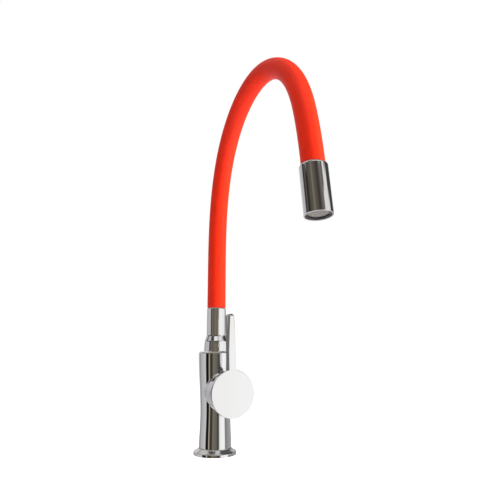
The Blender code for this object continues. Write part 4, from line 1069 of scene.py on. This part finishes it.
# The sleeve's rounded lower lip: distances, and how much narrower it is there
SLEEVE_LIP = ((0.3, 0.9), (0.5, 0.45), (0.9, 0.15), (1.5, 0))
CORE_RIDGE_R = 7.5 * MM
CORE_GROOVE_R = 6.9 * MM
CORE_WALL = 1.2 * MM
RIDGE_SHARE = 0.6
TUBE_R = 4.9 * MM
TUBE_WALL = 1.4 * MM
HALVES = (
    ("rising", "neck", "hose", on_hose(0.0), on_hose(MIDDLE)),
    ("falling", "hose", "nozzle", on_hose(MIDDLE), on_hose(HOSE_LENGTH)),
)
for half, lower, upper, start, end in HALVES:
    rising = half == "rising"
    line = layer_line(rising, into_neck=-0.3 * MM, into_nozzle=5.6 * MM, pitch=4 * MM)
    radii = [SLEEVE_R] * len(line)
    if rising:
        line[:1] = [distance * MM for distance, _ in SLEEVE_LIP]
        radii[:1] = [SLEEVE_R - less * MM for _, less in SLEEVE_LIP]
    sleeve = hose_piece("sleeve_" + half, line, radii, SLEEVE_WALL, sides=56)
    smooth(sleeve, angle=40)
    turns = layer_line(rising, into_neck=20.6 * MM, into_nozzle=16 * MM, pitch=3.2 * MM)
    line = [d for a, b in zip(turns, turns[1:]) for d in (a, a + (b - a) * RIDGE_SHARE)]
    line.append(turns[-1])
    radii = [CORE_GROOVE_R if i % 2 else CORE_RIDGE_R for i in range(len(line))]
    core = hose_piece("gooseneck_" + half, line, radii, CORE_WALL, sides=20)
    smooth(core, angle=20)
    line = layer_line(rising, into_neck=19.6 * MM, into_nozzle=15 * MM, pitch=6 * MM)
    tube = hose_piece("water_tube_" + half, line, [TUBE_R] * len(line), TUBE_WALL, sides=20)
    smooth(tube, angle=40)
    for piece, finish, slot, node in (
        (sleeve, RED_SILICONE, "silicone", "hose_sleeve"),
        (core, STEEL, "steel", "gooseneck_core"),
        (tube, GREY_TUBE, "tubing", "water_tube"),
    ):
        piece.data.materials.clear()
        piece.data.materials.append(finish)
        piece.visible_glossy = False
        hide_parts(node)
        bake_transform(piece)

# Nozzle
# A plain chromed cylinder with a rounded shoulder. Its outlet is a thin bright rim round the
# threaded aerator: a dark ring and a fine stainless mesh.
NOZZLE_R = 13.5 * MM
NOZZLE_LENGTH = 49.6 * MM
SHOULDER_ROUND = 1.8 * MM
OUTLET_ROUND = 0.35 * MM

profile = in_mm((11.65, 0), (11.7, 0))
profile += arc(NOZZLE_R - SHOULDER_ROUND, SHOULDER_ROUND, SHOULDER_ROUND, -90, 0, 8)
profile += [(NOZZLE_R, 2.2 * MM), (NOZZLE_R, 26 * MM), (NOZZLE_R, NOZZLE_LENGTH - 0.7 * MM)]
profile += arc(NOZZLE_R - OUTLET_ROUND, NOZZLE_LENGTH - OUTLET_ROUND, OUTLET_ROUND, 0, 90, 4)
profile += [(12.3 * MM, NOZZLE_LENGTH), (12.1 * MM, NOZZLE_LENGTH - 0.2 * MM)]
profile += in_mm((12.1, 27.45), (6.0, 27.45), (6.0, 20), (7.9, 20), (7.9, 5.9), (11.65, 5.9))
nozzle = turned("nozzle_shell", profile, NOZZLE_TOP, SPOUT_DOWN, RIGHT, closed=True)
smooth(nozzle)
dress(nozzle, CHROME, "chrome", "nozzle", "nozzle_sleeve")
repaint(BLACK_RUBBER, "aerator_seal")
repaint(WHITE_PLASTIC, "jet_plate")

DARK_PLASTIC = moulded(
    "dark_acetal",
    (0.035, 0.033, 0.032),
    roughness=0.32,
    grain=900.0,
    depth=0.01 * MM,
    shade=0.10,
)
AERATOR_FACE = NOZZLE_LENGTH - 0.9 * MM
AERATOR_SEAT = 30.05 * MM
MESH_SUNK = 1.6 * MM
profile = [
    (11.8 * MM, AERATOR_FACE - 0.2 * MM),
    (11.6 * MM, AERATOR_FACE),
    (10.4 * MM, AERATOR_FACE),
    (10.2 * MM, AERATOR_FACE - 0.2 * MM),
    (10.2 * MM, AERATOR_FACE - 0.6 * MM),
    (10.8 * MM, AERATOR_FACE - 0.8 * MM),
    (10.8 * MM, AERATOR_SEAT),
    (11.8 * MM, AERATOR_SEAT),
]
aerator_ring = turned("aerator_ring", profile, NOZZLE_TOP, SPOUT_DOWN, RIGHT, closed=True)
smooth(aerator_ring)
dress(aerator_ring, DARK_PLASTIC, "dark_plastic", "nozzle", "aerator_housing")

MESH_R = 10.5 * MM
MESH_PITCH = 0.62 * MM
MESH_WIRE = 0.16 * MM
MESH_STEEL = plated("mesh_steel", (0.62, 0.57, 0.55), roughness=0.35)
mesh_centre = NOZZLE_TOP + SPOUT_DOWN * (AERATOR_FACE - MESH_SUNK)
mesh_wires = []
row = int(MESH_R / MESH_PITCH)
other_way = SPOUT_DOWN.cross(RIGHT)
for spread, direction in ((RIGHT, other_way), (other_way, RIGHT)):
    for i in range(-row, row + 1):
        across = i * MESH_PITCH
        half = math.sqrt(max(MESH_R**2 - across**2, 0.0)) - 0.1 * MM
        if half <= MESH_PITCH:
            continue
        bpy.ops.object.select_all(action="DESELECT")
        bpy.ops.mesh.primitive_cylinder_add(vertices=6, radius=MESH_WIRE, depth=2 * half)
        wire = bpy.context.active_object
        wire.rotation_euler = direction.to_track_quat("Z", "Y").to_euler()
        wire.location = mesh_centre + spread * across
        mesh_wires.append(wire)
bpy.ops.object.select_all(action="DESELECT")
for wire in mesh_wires:
    wire.select_set(True)
bpy.context.view_layer.objects.active = mesh_wires[0]
bpy.ops.object.join()
mesh_piece = bpy.context.active_object
mesh_piece.name = "aerator_mesh"
bpy.ops.object.transform_apply(location=True, rotation=True, scale=True)
smooth(mesh_piece, angle=60)
dress(mesh_piece, MESH_STEEL, "screen", "nozzle", "aerator_screen")

# Fixing
# Under the worktop a threaded steel stud, a rubber and a steel horseshoe round the supply
# hoses, and a flanged nut. A small grub screw in the body's back locks the neck in.
STUD_TOP = 16.6 * MM
STUD_END = -62.0 * MM
STUD_R = 3.9 * MM
THREAD_DEPTH = 0.55 * MM
THREAD_PITCH = 1.25 * MM
CLAMP_R = 24.0 * MM
CLAMP_SLOT_R = 13.0 * MM
CLAMP_SLOT_PLACE = Vector((0, -8.0 * MM, 0))
CLAMP_MOUTH_WIDTH = 26.0 * MM
CLAMP_MOUTH_DEPTH = 20.0 * MM
CLAMP_MOUTH_PLACE = -18.0 * MM
NUT_CORNER_R = 7.5 * MM
NUT_THICK = 5.7 * MM
NUT_HEIGHT = -39.75 * MM
NUT_BORE_TOP = -35.0 * MM
NUT_BORE_BOTTOM = -44.0 * MM
KEY_R = 1.05 * MM
KEY_DEPTH = 4.0 * MM
KEY_PLACE = 20.0 * MM


def thread_profile(high, low, outer, depth, pitch):
    """A rod's side from its top down, with rings for the turns of its thread."""
    points = [(outer - depth, high)]
    h = high - 0.5 * pitch
    while h - pitch > low:
        points += [(outer - depth, h), (outer, h - 0.4 * pitch), (outer, h - 0.6 * pitch)]
        h -= pitch
    return points + [(outer - depth, h), (outer - depth, low)]


profile = [(0, STUD_TOP)]
profile += thread_profile(STUD_TOP, STUD_END, STUD_R, THREAD_DEPTH, THREAD_PITCH)
profile += [(0, STUD_END)]
stud = turned("threaded_stud", profile, STUD_PLACE, steps=32)
smooth(stud, angle=20)
dress(stud, STEEL, "steel", "body", "mounting_stud")

for name, high, thick, finish, slot, node in (
    ("rubber_horseshoe", -30 * MM, 3.0 * MM, BLACK_RUBBER, "rubber", "clamp_gasket"),
    ("steel_horseshoe", -33.3 * MM, 2.5 * MM, STEEL, "steel", "clamp_plate"),
):
    low = high - thick
    over, under = UP * (high + MM), UP * (low - MM)
    plate = turned(name, [(0, high), (CLAMP_R, high), (CLAMP_R, low), (0, low)])
    bore(plate, CLAMP_SLOT_R, CLAMP_SLOT_PLACE + under, CLAMP_SLOT_PLACE + over, FINE)
    bpy.ops.object.select_all(action="DESELECT")
    bpy.ops.mesh.primitive_cube_add(
        size=1.0, location=(0, CLAMP_MOUTH_PLACE, (high + low) / 2)
    )
    mouth = bpy.context.active_object
    mouth.scale = (CLAMP_MOUTH_WIDTH, CLAMP_MOUTH_DEPTH, thick + 2 * MM)
    cut(plate, mouth)
    bore(plate, STUD_BORE_R, STUD_PLACE + under, STUD_PLACE + over)
    ease_edges(plate, 0.25 * MM)
    smooth(plate)
    dress(plate, finish, slot, "body", node)

bpy.ops.object.select_all(action="DESELECT")
bpy.ops.mesh.primitive_cylinder_add(
    vertices=6, radius=NUT_CORNER_R, depth=NUT_THICK, location=STUD_PLACE + UP * NUT_HEIGHT
)
nut = bpy.context.active_object
nut.name = "flanged_nut"
bpy.ops.object.transform_apply(location=True, rotation=True, scale=True)
flange_profile = in_mm(
    (0, -36.1), (8.4, -36.1), (8.6, -36.3), (8.6, -37.0), (7.0, -38.2), (0, -38.2)
)
cut(nut, turned("flange", flange_profile, STUD_PLACE), "UNION")
bore(nut, STUD_BORE_R, STUD_PLACE + UP * NUT_BORE_BOTTOM, STUD_PLACE + UP * NUT_BORE_TOP)
ease_edges(nut, 0.2 * MM)
smooth(nut)
dress(nut, STEEL, "steel", "body", "stud_nut")

lock_centre = Vector((0, 0, LOCK_HEIGHT))
grub_profile = in_mm(
    (0, 19.8), (1.75, 19.8), (1.9, 19.6), (1.9, 10.3), (1.4, 10.3), (1.4, 8.3), (0, 8.3)
)
grub = turned("neck_grub_screw", grub_profile, lock_centre, -FORWARD, RIGHT, 48)
bpy.ops.object.select_all(action="DESELECT")
bpy.ops.mesh.primitive_cylinder_add(
    vertices=6,
    radius=KEY_R,
    depth=KEY_DEPTH,
    location=lock_centre - FORWARD * KEY_PLACE,
    rotation=(math.pi / 2, 0, 0),
)
cut(grub, bpy.context.active_object)
smooth(grub)
dress(grub, STEEL, "steel", "body", "swivel_lock_screw")

low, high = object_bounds()
